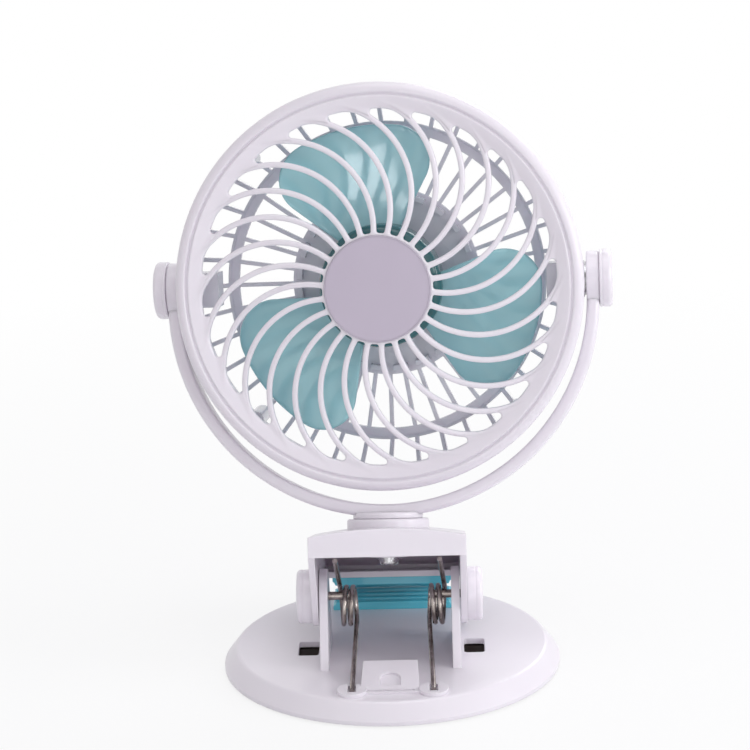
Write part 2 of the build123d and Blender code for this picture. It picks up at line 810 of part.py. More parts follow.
washer_top = jaw_ceiling - ceiling_boss - running_gap - roof
with BuildPart() as swivel_washer:
    with BuildSketch(yoke.offset(washer_top - swivel_washer_thickness)):
        Circle(swivel_washer_radius)
        Circle(swivel_screw_radius + press_gap, mode=Mode.SUBTRACT)
    extrude(amount=swivel_washer_thickness)
swivel_washer.part.label = "swivel_washer"
export_step(swivel_washer.part, "parts/swivel_washer.step")

with BuildPart() as swivel_screw:
    with BuildSketch(yoke.offset(washer_top - swivel_washer_thickness - swivel_head)):
        Circle(swivel_head_radius)
    extrude(amount=swivel_head)
    fillet(swivel_screw.edges().filter_by(GeomType.CIRCLE).sort_by(Axis.Z)[0], radius=swivel_head_round)
    with BuildSketch(yoke.offset(washer_top - swivel_washer_thickness)):
        Circle(swivel_screw_radius)
    extrude(amount=swivel_screw_length)
    with BuildSketch(yoke.offset(washer_top - swivel_washer_thickness - swivel_head)):
        Rectangle(recess_length, recess_width)
        Rectangle(recess_width, recess_length)
    extrude(amount=recess_depth, mode=Mode.SUBTRACT)
swivel_screw.part.label = "swivel_screw"
export_step(swivel_screw.part, "parts/swivel_screw.step")

# ================================================================ yoke
yoke_outer_radius = yoke_inner_radius + yoke_band
stem_bottom = stem_floor + seat_gap - roof
with BuildPart() as yoke_bracket:
    with BuildSketch(yoke_front.offset(-yoke_depth / 2)):
        with BuildLine():
            CenterArc((0, arc_height), yoke_outer_radius, 180, 180)
            Line((yoke_outer_radius, arc_height), (yoke_outer_radius, pivot_height))
            Line((yoke_outer_radius, pivot_height), (yoke_inner_radius, pivot_height))
            Line((yoke_inner_radius, pivot_height), (yoke_inner_radius, arc_height))
            CenterArc((0, arc_height), yoke_inner_radius, 180, 180)
            Line((-yoke_inner_radius, arc_height), (-yoke_inner_radius, pivot_height))
            Line((-yoke_inner_radius, pivot_height), (-yoke_outer_radius, pivot_height))
            Line((-yoke_outer_radius, pivot_height), (-yoke_outer_radius, arc_height))
        make_face()
    extrude(amount=yoke_depth)
    band_faces = yoke_bracket.faces().filter_by(Axis(yoke.origin, yoke.y_dir))
    fillet(band_faces.edges().filter_by(lambda e: e.length > yoke_band + yoke_edge), radius=yoke_edge)
    # round eyes at the pivots
    for start in (yoke_inner_radius, -yoke_outer_radius):
        with BuildSketch(yoke_pivot_side.offset(start)):
            Circle(eye_radius)
        extrude(amount=yoke_band)
    with BuildSketch(yoke_pivot_side.offset(-yoke_outer_radius)):
        Circle(pivot_shoulder_radius + running_gap)
    extrude(amount=2 * yoke_outer_radius, mode=Mode.SUBTRACT)
    # neck, and the stem that turns in the jaw
    with BuildSketch(yoke.offset(collar_height + seat_gap)):
        Circle(neck_radius)
    extrude(amount=neck_top - collar_height - seat_gap)
    with BuildSketch(yoke.offset(stem_bottom)):
        Circle(stem_radius)
    extrude(amount=neck_top - stem_bottom)
    with BuildSketch(yoke.offset(stem_bottom)):
        Circle(swivel_screw_radius + press_gap)
    extrude(
        amount=washer_top - swivel_washer_thickness + swivel_screw_length + side_gap - stem_bottom,
        mode=Mode.SUBTRACT,
    )
yoke_bracket.part.label = "yoke_bracket"
export_step(yoke_bracket.part, "parts/yoke_bracket.step")

for side, sign in sides:
    outward = Plane(origin=head.origin, x_dir=head.y_dir, z_dir=head.x_dir * sign)
    with BuildPart() as pivot_cap:
        with BuildSketch(outward.offset(yoke_outer_radius)):
            Circle(pivot_cap_radius)
        extrude(amount=pivot_cap_length)
        far_face = pivot_cap.faces().sort_by(Axis(head.origin, outward.z_dir))[-1]
        fillet(far_face.edges(), radius=pivot_cap_edge)
        with BuildSketch(outward.offset(yoke_outer_radius)):
            Circle(pivot_head_radius + side_gap)
        extrude(amount=pivot_head + side_gap, mode=Mode.SUBTRACT)
    pivot_cap.part.label = f"pivot_cap_{side}"
    export_step(pivot_cap.part, f"parts/pivot_cap_{side}.step")

    with BuildPart() as pivot_washer_ring:
        with BuildSketch(outward.offset(yoke_inner_radius - running_gap - pivot_washer_thickness)):
            Circle(pivot_washer_radius)
            Circle(pivot_shoulder_radius + press_gap, mode=Mode.SUBTRACT)
        extrude(amount=pivot_washer_thickness)
    pivot_washer_ring.part.label = f"pivot_washer_{side}"
    export_step(pivot_washer_ring.part, f"parts/pivot_washer_{side}.step")

    boss_face = yoke_inner_radius - running_gap - pivot_washer_thickness
    with BuildPart() as pivot_screw:
        with BuildSketch(outward.offset(boss_face - pivot_thread_length)):
            Circle(pivot_thread_radius)
        extrude(amount=pivot_thread_length)
        with BuildSketch(outward.offset(boss_face)):
            Circle(pivot_shoulder_radius)
        extrude(amount=yoke_outer_radius + running_gap - boss_face)
        with BuildSketch(outward.offset(yoke_outer_radius + running_gap)):
            Circle(pivot_head_radius)
        extrude(amount=pivot_head)
    pivot_screw.part.label = f"pivot_screw_{side}"
    export_step(pivot_screw.part, f"parts/pivot_screw_{side}.step")

# ================================================================ head: grille
grille_top = ring_face + grille_dome
# the dome is part of a ball: its radius, and its drop half way out to the annulus
dome_radius = (opening_radius ** 2 + grille_dome ** 2) / (2 * grille_dome)
middle_sag = dome_radius - sqrt(dome_radius ** 2 - (opening_radius / 2) ** 2)
with BuildPart() as front_grille:
    with BuildSketch(head_section):
        with BuildLine():
            ThreePointArc(
                (0, grille_top),
                (opening_radius / 2, grille_top - middle_sag),
                (opening_radius, ring_face),
            )
            Polyline(
                (opening_radius, ring_face),
                (crease_radius - crease_half, ring_face),
                (crease_radius, ring_face - crease_depth),
                (crease_radius + crease_half, ring_face),
            )
            ThreePointArc(
                (crease_radius + crease_half, ring_face),
                (
                    ring_radius - ring_round * (1 - sin(pi / 4)),
                    ring_face - ring_round * (1 - sin(pi / 4)),
                ),
                (ring_radius, ring_face - ring_round),
            )
            Polyline(
                (ring_radius, ring_face - ring_round),
                (ring_radius, ring_back),
                (ring_radius - ring_wall, ring_back),
                (ring_radius - ring_wall, ring_face - ring_round),
                (crease_radius - crease_half, ring_face - grille_thickness),
                (opening_radius, ring_face - grille_thickness),
            )
            ThreePointArc(
                (opening_radius, ring_face - grille_thickness),
                (opening_radius / 2, grille_top - middle_sag - grille_thickness),
                (0, grille_top - grille_thickness),
            )
            Line((0, grille_top - grille_thickness), (0, grille_top))
        make_face()
    revolve(axis=head_axis)
    spiral_arc = ThreePointArc(
        polar(grille_hub_radius - spiral_rib_width, 0),
        polar(spiral_mid_radius, spiral_mid_turn),
        polar(opening_radius + spiral_rib_width, spiral_end_turn),
    )
    with BuildSketch(head.offset(ring_face - 2 * grille_thickness)) as openings:
        Circle(opening_radius)
        Circle(grille_hub_radius, mode=Mode.SUBTRACT)
        with PolarLocations(0, spiral_ribs, start_angle=spiral_root_angle):
            SlotArc(spiral_arc, spiral_rib_width, mode=Mode.SUBTRACT)
        fillet(openings.vertices(), radius=opening_round)
    extrude(amount=grille_dome + 3 * grille_thickness, mode=Mode.SUBTRACT)
    # seat of the centre cap
    with BuildSketch(head.offset(grille_top + centre_cap_stand - centre_cap_thickness)):
        Circle(centre_cap_radius + seat_gap)
    extrude(amount=grille_thickness, mode=Mode.SUBTRACT)
    # bosses for the screws from the rear housing
    with BuildSketch(head.offset(ring_back + spigot_length)):
        with PolarLocations(housing_screw_circle_radius, housing_screws_count, start_angle=first_screw):
            Circle(housing_screw_radius + grille_boss_wall)
            Circle(housing_screw_radius + press_gap, mode=Mode.SUBTRACT)
    extrude(amount=ring_face - grille_thickness / 2 - ring_back - spigot_length)
front_grille.part.label = "front_grille"
export_step(front_grille.part, "parts/front_grille.step")

with BuildPart() as centre_cap:
    with BuildSketch(head.offset(grille_top + centre_cap_stand - centre_cap_thickness)):
        Circle(centre_cap_radius)
    extrude(amount=centre_cap_thickness)
    cap_face = centre_cap.faces().sort_by(Axis(head.origin, head.z_dir))[-1]
    fillet(cap_face.edges(), radius=centre_cap_edge)
centre_cap.part.label = "centre_cap"
export_step(centre_cap.part, "parts/centre_cap.step")

# ================================================================ head: rear housing
rim_front = ring_back - seat_gap
spigot_radius = ring_radius - ring_wall - seat_gap
shell_inner = spigot_radius - spigot_wall
wall_front = back_wall + back_wall_thickness
housing_boss_front = ring_back + spigot_length - seat_gap
cup_front = motor_front + motor_cup_lip
cup_radius = motor_radius + seat_gap + motor_cup_wall
board_front = back_wall - board_stand
board_back = board_front - board_thickness
block_outer = yoke_inner_radius - pivot_washer_thickness - running_gap
window_outer = crease_radius - 2 * crease_half

with BuildPart() as rear_housing:
    with BuildSketch(head_section):
        with BuildLine():
            Polyline(
                (0, back_wall),
                (hub_radius - hub_wall, back_wall),
                (hub_radius - hub_wall, hub_back),
                (hub_radius, hub_back),
                (hub_radius, back_wall),
                (cage_radius, back_wall),
                (shell_radius, shell_back),
                (shell_radius, rim_front),
                (spigot_radius, rim_front),
                (spigot_radius, rim_front + spigot_length),
                (shell_inner, rim_front + spigot_length),
                (shell_inner, shell_back + shell_wall / 4),
                (cage_radius - shell_wall / 2, wall_front),
                (0, wall_front),
                close=True,
            )
        make_face()
    revolve(axis=head_axis)
    # windows of the back wall and of the cone, between straight ribs
    with BuildSketch(head.offset(back_wall - shell_wall)):
        Circle(window_outer)
        Circle(cage_radius, mode=Mode.SUBTRACT)
        Circle(cage_radius - band_width)
        Circle(hub_radius + cage_rib_width, mode=Mode.SUBTRACT)
        with PolarLocations((hub_radius + window_outer) / 2, cage_ribs):
            Rectangle(window_outer, cage_rib_width, mode=Mode.SUBTRACT)
    extrude(amount=shell_back - back_wall + shell_wall - side_gap, mode=Mode.SUBTRACT)
    # raised hub ring with tabs
    with BuildSketch(head.offset(wall_front)):
        Circle(hub_radius)
        Circle(hub_radius - hub_wall, mode=Mode.SUBTRACT)
        with PolarLocations(hub_radius, tab_count):
            Rectangle(2 * hub_wall + tab_gap, tab_gap, mode=Mode.SUBTRACT)
    extrude(amount=tab_ring)
    # cup that holds the motor from behind
    with BuildSketch(head.offset(wall_front)):
        Circle(cup_radius)
    extrude(amount=cup_front - wall_front)
    with BuildSketch(head.offset(motor_front)):
        Circle(motor_radius + seat_gap)
    extrude(amount=2 * back_wall, mode=Mode.SUBTRACT)
    with BuildSketch(head.offset(motor_front)):
        Circle(bearing_radius + seat_gap)
        with Locations((-motor_screw_x, 0), (motor_screw_x, 0)):
            Circle(motor_screw_radius + press_gap)
    extrude(amount=motor_cup_lip, mode=Mode.SUBTRACT)
    # screw wells for the grille screws
    with BuildSketch(head.offset(housing_boss_back)):
        with PolarLocations(housing_screw_circle_radius, housing_screws_count, start_angle=first_screw):
            Circle(housing_boss_radius)
    extrude(amount=housing_boss_front - housing_boss_back)
    with BuildSketch(head.offset(housing_head_seat)):
        with PolarLocations(housing_screw_circle_radius, housing_screws_count, start_angle=first_screw):
            Circle(housing_screw_radius + seat_gap)
    extrude(amount=housing_boss_front, mode=Mode.SUBTRACT)
    with BuildSketch(head.offset(housing_head_seat)):
        with PolarLocations(housing_screw_circle_radius, housing_screws_count, start_angle=first_screw):
            Circle(housing_head_radius + seat_gap)
    extrude(amount=2 * housing_boss_back, mode=Mode.SUBTRACT)
    # pivot blocks at the sides
    for start in (pivot_block_inner, -block_outer):
        with BuildSketch(head_side.offset(start)):
            Rectangle(2 * pivot_block_half, 2 * pivot_block_half)
        extrude(amount=block_outer - pivot_block_inner)
    for start in (block_outer - pivot_thread_length - side_gap, -block_outer):
        with BuildSketch(head_side.offset(start)):
            Circle(pivot_thread_radius + press_gap)
        extrude(amount=pivot_thread_length + side_gap, mode=Mode.SUBTRACT)
    # posts for the cover screws and for the circuit board
    with BuildSketch(head.offset(back_wall)):
        with Locations((-cover_screw_x, 0), (cover_screw_x, 0)):
            Circle(cover_boss_radius)
            Circle(cover_screw_radius + press_gap, mode=Mode.SUBTRACT)
    extrude(amount=hub_back - back_wall)
    with BuildSketch(head.offset(back_wall)):
        with Locations((-board_post_x, -board_down), (board_post_x, -board_down)):
            Circle(board_post_radius)
    extrude(amount=-board_stand)
    # window for the inlet socket, in the underside of the hub
    with BuildSketch(Plane(head.location * Pos(0, 0, board_back) * Rot(90, 0, 0))):
        with Locations((0, -socket_height / 2)):
            Rectangle(socket_width + 2 * seat_gap, socket_height + 2 * seat_gap)
    extrude(amount=2 * hub_radius, mode=Mode.SUBTRACT)
rear_housing.part.label = "rear_housing"
export_step(rear_housing.part, "parts/rear_housing.step")

with BuildPart() as housing_screws:
    with BuildSketch(head.offset(housing_head_seat - housing_head)):
        with PolarLocations(housing_screw_circle_radius, housing_screws_count, start_angle=first_screw):
            Circle(housing_head_radius)
    extrude(amount=housing_head)
    with BuildSketch(head.offset(housing_head_seat)):
        with PolarLocations(housing_screw_circle_radius, housing_screws_count, start_angle=first_screw):
            Circle(housing_screw_radius)
    extrude(amount=housing_screw_length)
housing_screws.part.label = "housing_screws"
export_step(housing_screws.part, "parts/housing_screws.step")

cover_front = hub_back - press_gap
cover_back = cover_front - cover_plate
button_place = (0, -board_down)
lens_place = (lens_x, -board_down)
with BuildPart() as rear_cover:
    with BuildSketch(head.offset(cover_front)):
        Circle(hub_radius)
    extrude(amount=-cover_plate)
    rear_face = rear_cover.faces().sort_by(Axis(head.origin, head.z_dir))[0]
    fillet(rear_face.edges(), radius=cover_edge)
    with BuildSketch(head.offset(cover_front)):
        with Locations(button_place):
            Circle(button_radius + seat_gap)
        with Locations(lens_place):
            Circle(lens_radius + press_gap)
        with Locations((-cover_screw_x, 0), (cover_screw_x, 0)):
            Circle(cover_screw_radius + seat_gap)
    extrude(amount=-cover_plate, mode=Mode.SUBTRACT)
    with BuildSketch(head.offset(cover_back)):
        with Locations((-cover_screw_x, 0), (cover_screw_x, 0)):
            Circle(cover_head_radius + seat_gap)
    extrude(amount=cover_head, mode=Mode.SUBTRACT)
rear_cover.part.label = "rear_cover"
export_step(rear_cover.part, "parts/rear_cover.step")

with BuildPart() as rear_cover_screws:
    with BuildSketch(head.offset(cover_back + cover_head)):
        with Locations((-cover_screw_x, 0), (cover_screw_x, 0)):
            Circle(cover_head_radius)
    extrude(amount=-cover_head)
    with BuildSketch(head.offset(cover_back + cover_head)):
        with Locations((-cover_screw_x, 0), (cover_screw_x, 0)):
            Circle(cover_screw_radius)
    extrude(amount=cover_screw_length)
rear_cover_screws.part.label = "rear_cover_screws"
export_step(rear_cover_screws.part, "parts/rear_cover_screws.step")

# ================================================================ motor
can_inner = motor_radius - motor_wall
end_cap_radius = can_inner - press_gap
end_cap_front = motor_back + end_cap
boss_back = motor_back - end_cap_boss
with BuildPart() as motor_can:
    with BuildSketch(head_section):
        with BuildLine():
            Polyline(
                (motor_radius, motor_back),
                (motor_radius, motor_front),
                (bearing_radius + press_gap, motor_front),
                (bearing_radius + press_gap, motor_front - motor_wall),
                (can_inner, motor_front - motor_wall),
                (can_inner, motor_back),
                close=True,
            )
        make_face()
    revolve(axis=head_axis)
    with BuildSketch(head.offset(motor_front)):
        with Locations((-motor_screw_x, 0), (motor_screw_x, 0)):
            Circle(motor_screw_radius + press_gap)
    extrude(amount=-motor_wall, mode=Mode.SUBTRACT)
motor_can.part.label = "motor_can"
export_step(motor_can.part, "parts/motor_can.step")

with BuildPart() as motor_end_cap:
    with BuildSketch(head.offset(motor_back)):
        Circle(end_cap_radius)
    extrude(amount=end_cap)
    with BuildSketch(head.offset(boss_back)):
        Circle(end_cap_boss_radius)
    extrude(amount=end_cap_boss)
    with BuildSketch(head.offset(boss_back)):
        Circle(bearing_radius + press_gap)
        with Locations((-terminal_x, 0), (terminal_x, 0)):
            Rectangle(terminal_thickness + seat_gap, terminal_width + seat_gap)
    extrude(amount=end_cap_boss + end_cap, mode=Mode.SUBTRACT)
motor_end_cap.part.label = "motor_end_cap"
export_step(motor_end_cap.part, "parts/motor_end_cap.step")

with BuildPart() as motor_terminals:
    with BuildSketch(head.offset(motor_back + end_cap / 2)):
        with Locations((-terminal_x, 0), (terminal_x, 0)):
            Rectangle(terminal_thickness, terminal_width)
    extrude(amount=-terminal_length)
motor_terminals.part.label = "motor_terminals"
export_step(motor_terminals.part, "parts/motor_terminals.step")

with BuildPart() as motor_magnets:
    with BuildSketch(head_section):
        with Locations((can_inner - press_gap - magnet_thickness, magnet_back)):
            Rectangle(
                magnet_thickness, magnet_front - magnet_back, align=(Align.MIN, Align.MIN)
            )
    revolve(axis=head_axis)
    with BuildSketch(head.offset(magnet_back)):
        Rectangle(2 * motor_radius, 2 * motor_radius * cos(radians(magnet_arc)))
    extrude(amount=magnet_front - magnet_back, mode=Mode.SUBTRACT)
motor_magnets.part.label = "motor_magnets"
export_step(motor_magnets.part, "parts/motor_magnets.step")

for label, start in (
    ("front_bearing", motor_front - bearing_length / 2),
    ("rear_bearing", boss_back + seat_gap),
):
    with BuildPart() as bearing:
        with BuildSketch(head.offset(start)):
            Circle(bearing_radius)
            Circle(shaft_radius + running_gap / 2, mode=Mode.SUBTRACT)
        extrude(amount=bearing_length)
    bearing.part.label = label
    export_step(bearing.part, f"parts/{label}.step")

with BuildPart() as motor_brushes:
    with BuildSketch(head.offset(end_cap_front)):
        for direction in (-1, 1):
            reach = commutator_radius + running_gap + brush_length / 2
            with Locations((0, direction * reach)):
                Rectangle(brush_width, brush_length)
    extrude(amount=commutator_length / 2 + seat_gap)
motor_brushes.part.label = "motor_brushes"
export_step(motor_brushes.part, "parts/motor_brushes.step")

with BuildPart() as motor_screws:
    with BuildSketch(head.offset(cup_front)):
        with Locations((-motor_screw_x, 0), (motor_screw_x, 0)):
            Circle(motor_screw_head_radius)
    extrude(amount=motor_screw_head)
    with BuildSketch(head.offset(cup_front)):
        with Locations((-motor_screw_x, 0), (motor_screw_x, 0)):
            Circle(motor_screw_radius)
    extrude(amount=-motor_screw_length)
motor_screws.part.label = "motor_screws"
export_step(motor_screws.part, "parts/motor_screws.step")

with BuildPart() as motor_shaft:
    with BuildSketch(head.offset(shaft_back)):
        Circle(shaft_radius)
    extrude(amount=shaft_front - shaft_back)
motor_shaft.part.label = "motor_shaft"
export_step(motor_shaft.part, "parts/motor_shaft.step")

with BuildPart() as rotor_core:
    with BuildSketch(head.offset(core_back)):
        Circle(core_radius)
        Circle(core_radius - core_shoe_thickness, mode=Mode.SUBTRACT)
        with PolarLocations(core_radius, rotor_arms, start_angle=180 / rotor_arms):
            Rectangle(3 * core_shoe_thickness, core_arm_width / 2, mode=Mode.SUBTRACT)
        Circle(core_hub_radius)
        with PolarLocations(core_radius / 2, rotor_arms):
            Rectangle(core_radius - core_shoe_thickness, core_arm_width)
        Circle(shaft_radius + press_gap, mode=Mode.SUBTRACT)
    extrude(amount=core_front - core_back)
rotor_core.part.label = "rotor_core"
export_step(rotor_core.part, "parts/rotor_core.step")

winding_inner = core_hub_radius + winding_overhang
winding_outer = sqrt((core_radius - core_shoe_thickness) ** 2 - (winding_width / 2) ** 2) - seat_gap
with BuildPart() as rotor_windings:
    with BuildSketch(head.offset(core_back - winding_overhang)):
        with PolarLocations((winding_inner + winding_outer) / 2, rotor_arms):
            Rectangle(winding_outer - winding_inner, winding_width)
    extrude(amount=core_front - core_back + 2 * winding_overhang)
    with BuildSketch(head.offset(core_back - press_gap)):
        with PolarLocations(core_radius / 2, rotor_arms):
            Rectangle(core_radius, core_arm_width + 2 * press_gap)
    extrude(amount=core_front - core_back + 2 * press_gap, mode=Mode.SUBTRACT)
rotor_windings.part.label = "rotor_windings"
export_step(rotor_windings.part, "parts/rotor_windings.step")

with BuildPart() as commutator:
    with BuildSketch(head.offset(commutator_back)):
        Circle(commutator_radius)
        Circle(shaft_radius + press_gap, mode=Mode.SUBTRACT)
    extrude(amount=commutator_length)
commutator.part.label = "commutator"
export_step(commutator.part, "parts/commutator.step")

# ================================================================ impeller
# one blade about the upright axis: a twisted sheet, cut to the outline of a petal
blade_root_radius = impeller_hub_radius - impeller_hub_wall / 2
with BuildPart() as blade:
    for reach, pitch in (
        (blade_root_radius * cos(radians(blade_root_span)) - impeller_hub_wall, blade_root_pitch),
        ((blade_root_radius + blade_tip_radius) / 2, blade_mid_pitch),
        (blade_tip_radius + blade_thickness, blade_tip_pitch),
    ):
        half_chord = reach * tan(radians(blade_tip_span)) / cos(radians(pitch))
        station = Plane(origin=(reach, 0, blade_plane_height), x_dir=(0, 1, 0), z_dir=(1, 0, 0))
        with BuildSketch(station):
            Rectangle(2 * half_chord, blade_thickness, rotation=pitch)
    loft()
    with BuildSketch(Plane.XY.offset(-blade_tip_radius)):
        with BuildLine():
            blade_tip = ThreePointArc(
                polar(blade_tip_radius, -blade_tip_span),
                (blade_tip_radius, 0),
                polar(blade_tip_radius, blade_tip_span),
            )
            Line(blade_tip @ 1, polar(blade_root_radius, blade_root_span))
            ThreePointArc(
                polar(blade_root_radius, blade_root_span),
                (blade_root_radius, 0),
                polar(blade_root_radius, -blade_root_span),
            )
            Line(polar(blade_root_radius, -blade_root_span), blade_tip @ 0)
        petal = make_face()
        fillet(petal.vertices().sort_by(Axis.X)[-2:], radius=blade_corner)
    extrude(amount=2 * blade_tip_radius, mode=Mode.INTERSECT)

with BuildPart() as impeller:
    with BuildSketch(head_section):
        with BuildLine():
            Polyline(
                (0, impeller_hub_front),
                (impeller_hub_radius, impeller_hub_front),
                (impeller_hub_radius, impeller_hub_back),
                (impeller_hub_radius - impeller_hub_wall, impeller_hub_back),
                (impeller_hub_radius - impeller_hub_wall, impeller_hub_front - impeller_hub_wall),
                (impeller_boss_radius, impeller_hub_front - impeller_hub_wall),
                (impeller_boss_radius, impeller_boss_back),
                (shaft_radius + press_gap, impeller_boss_back),
                (shaft_radius + press_gap, shaft_front + seat_gap),
                (0, shaft_front + seat_gap),
                close=True,
            )
        make_face()
    revolve(axis=head_axis)
    front_face = impeller.faces().sort_by(Axis(head.origin, head.z_dir))[-1]
    fillet(front_face.edges(), radius=impeller_hub_round)
    blade_places = [
        head.location * Rot(0, 0, blade_phase + 360 / blades * turn) for turn in range(blades)
    ]
    with Locations(*blade_places):
        add(blade.part)
impeller.part.label = "impeller"
export_step(impeller.part, "parts/impeller.step")

# ================================================================ electronics
with BuildPart() as battery_cell:
    with BuildSketch(head.offset(back_wall)):
        with Locations((0, battery_up)):
            RectangleRounded(battery_width, battery_height, radius=battery_corner)
    extrude(amount=-battery_thickness)
battery_cell.part.label = "battery_cell"
export_step(battery_cell.part, "parts/battery_cell.step")

with BuildPart() as circuit_board:
    with BuildSketch(head.offset(board_front)):
        with Locations((0, -board_down)):
            Rectangle(board_width, board_height)
        with Locations((0, -board_down - board_height / 2)):
            Rectangle(board_tab_width, 2 * board_tab)
    extrude(amount=-board_thickness)
circuit_board.part.label = "circuit_board"
export_step(circuit_board.part, "parts/circuit_board.step")

socket_mouth = -hub_radius + seat_gap
with BuildPart() as usb_socket:
    with BuildSketch(Plane(head.location * Pos(0, socket_mouth, board_back) * Rot(90, 0, 0))):
        with Locations((0, -socket_height / 2)):
            Rectangle(socket_width, socket_height)
            Rectangle(
                socket_width - 2 * socket_wall, socket_height - 2 * socket_wall,
                mode=Mode.SUBTRACT,
            )
    extrude(amount=-socket_depth)
    back_end = Plane(head.location * Pos(0, socket_mouth + socket_depth, board_back) * Rot(90, 0, 0))
    with BuildSketch(back_end):
        with Locations((0, -socket_height / 2)):
            Rectangle(socket_width, socket_height)
    extrude(amount=socket_wall)
    with BuildSketch(back_end):
        with Locations((0, -socket_height / 2)):
            Rectangle(socket_width - 2 * socket_wall - 2 * socket_tongue_side, socket_tongue)
    extrude(amount=socket_depth - 2 * socket_wall)
usb_socket.part.label = "usb_socket"
export_step(usb_socket.part, "parts/usb_socket.step")

with BuildPart() as switch_body:
    with BuildSketch(head.offset(board_back)):
        with Locations(button_place):
            Rectangle(switch_size, switch_size)
    extrude(amount=-switch_height)
switch_body.part.label = "switch_body"
export_step(switch_body.part, "parts/switch_body.step")

flange_back = cover_front + 2 * seat_gap
with BuildPart() as power_button:
    with BuildSketch(head.offset(cover_back - button_stand)):
        with Locations(button_place):
            Circle(button_radius)
    extrude(amount=flange_back - cover_back + button_stand)
    button_face = power_button.faces().sort_by(Axis(head.origin, head.z_dir))[0]
    fillet(button_face.edges(), radius=button_edge)
    with BuildSketch(head.offset(flange_back)):
        with Locations(button_place):
            Circle(button_radius + button_flange)
    extrude(amount=button_flange_height)
    with BuildSketch(head.offset(flange_back)):
        with Locations(button_place):
            Circle(button_stem_radius)
    extrude(amount=board_back - switch_height - button_stem_gap - flange_back)
power_button.part.label = "power_button"
export_step(power_button.part, "parts/power_button.step")

with BuildPart() as charge_lens:
    with BuildSketch(head.offset(cover_back - 2 * seat_gap)):
        with Locations(lens_place):
            Circle(lens_radius)
    extrude(amount=lens_length)
charge_lens.part.label = "charge_lens"
export_step(charge_lens.part, "parts/charge_lens.step")

with BuildPart() as charge_light:
    with BuildSketch(head.offset(board_back)):
        with Locations(lens_place):
            Rectangle(led_size, led_size)
    extrude(amount=-led_height)
charge_light.part.label = "charge_light"
export_step(charge_light.part, "parts/charge_light.step")
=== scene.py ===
"""Clip fan: the looks of a small caged fan on a sprung clip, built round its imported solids.

The grille, the impeller, the yoke, the round caps, the rubber pads and the wire springs are
made here as surfaces. The other solids keep their shape and get a finish. Lengths in the
classes of pieces are millimetres and angles degrees, unless a docstring says otherwise; every
point that goes into a mesh is in metres.
"""

from __future__ import annotations

import json
import logging
from collections.abc import Sequence
from dataclasses import dataclass, field
from enum import Enum

import bmesh
import bpy
import numpy as np
import numpy.typing as npt
from mathutils import Matrix, Vector


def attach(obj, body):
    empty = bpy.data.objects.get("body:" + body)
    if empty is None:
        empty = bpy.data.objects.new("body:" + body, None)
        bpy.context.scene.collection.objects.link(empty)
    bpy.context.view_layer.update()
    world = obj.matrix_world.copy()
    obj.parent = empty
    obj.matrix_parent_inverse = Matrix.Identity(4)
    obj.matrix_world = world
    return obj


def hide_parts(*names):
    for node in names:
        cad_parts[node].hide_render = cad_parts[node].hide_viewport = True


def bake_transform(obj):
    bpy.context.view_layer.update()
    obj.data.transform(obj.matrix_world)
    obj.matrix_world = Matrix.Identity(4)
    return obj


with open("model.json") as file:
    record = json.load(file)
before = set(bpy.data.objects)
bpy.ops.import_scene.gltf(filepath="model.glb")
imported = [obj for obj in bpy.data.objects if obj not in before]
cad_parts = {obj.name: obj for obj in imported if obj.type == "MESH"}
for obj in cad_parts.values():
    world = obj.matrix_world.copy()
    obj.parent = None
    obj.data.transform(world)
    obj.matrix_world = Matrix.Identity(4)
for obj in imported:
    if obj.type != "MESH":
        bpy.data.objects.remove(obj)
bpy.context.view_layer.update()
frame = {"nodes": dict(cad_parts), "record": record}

LOG = logging.getLogger("clip_fan")
Array = npt.NDArray[np.float64]
Colour = tuple[float, float, float, float]
Triple = tuple[float, float, float]
Paints = dict[str, bpy.types.Material]
MM = 0.001
MERGE = 2e-6  # points nearer than this, in metres, are one point

# where the bodies stand, in millimetres and degrees
HINGE_Y, HINGE_Z = -10.0, 29.6
JAW_LEAN = 18.0
ROOF_HEIGHT, YOKE_TURN = 24.3, -4.0
PIVOT_HEIGHT, HEAD_PITCH = 87.3, 98.5


# ---------------------------------------------------------------- placing


@dataclass(frozen=True)
class Placing:
    """Right-handed axes standing on a point of the row frame.

    Points given in it are in millimetres, and the points it gives back are in metres.
    """

    origin: Array
    axes: Array

    def moved(self, x: float = 0.0, y: float = 0.0, z: float = 0.0) -> Placing:
        """The same axes, moved along themselves by millimetres."""
        return Placing(self.origin + self.axes @ (np.array((x, y, z)) * MM), self.axes)

    def turned(self, axis: str, degrees: float) -> Placing:
        """The axes turned about one of themselves, X, Y or Z."""
        turn = np.array(Matrix.Rotation(np.radians(degrees), 3, axis))
        return Placing(self.origin, self.axes @ turn)

    def place(self, points: Array) -> Array:
        """Points of these axes, in millimetres, as points of the row frame, in metres."""
        return self.origin + (points * MM) @ self.axes.T


ROW = Placing(np.zeros(3), np.eye(3))
HINGE = ROW.moved(y=HINGE_Y, z=HINGE_Z)
JAW = HINGE.turned("X", -JAW_LEAN)
YOKE = JAW.moved(z=ROOF_HEIGHT).turned("Z", YOKE_TURN)
HEAD = YOKE.moved(z=PIVOT_HEIGHT).turned("X", HEAD_PITCH)


# ---------------------------------------------------------------- shapes


def polar(radius: Array | float, degrees: Array | float) -> Array:
    """Points of a plane at the given radii and angles."""
    angle = np.radians(degrees)
    return np.stack((radius * np.cos(angle), radius * np.sin(angle)), axis=-1)


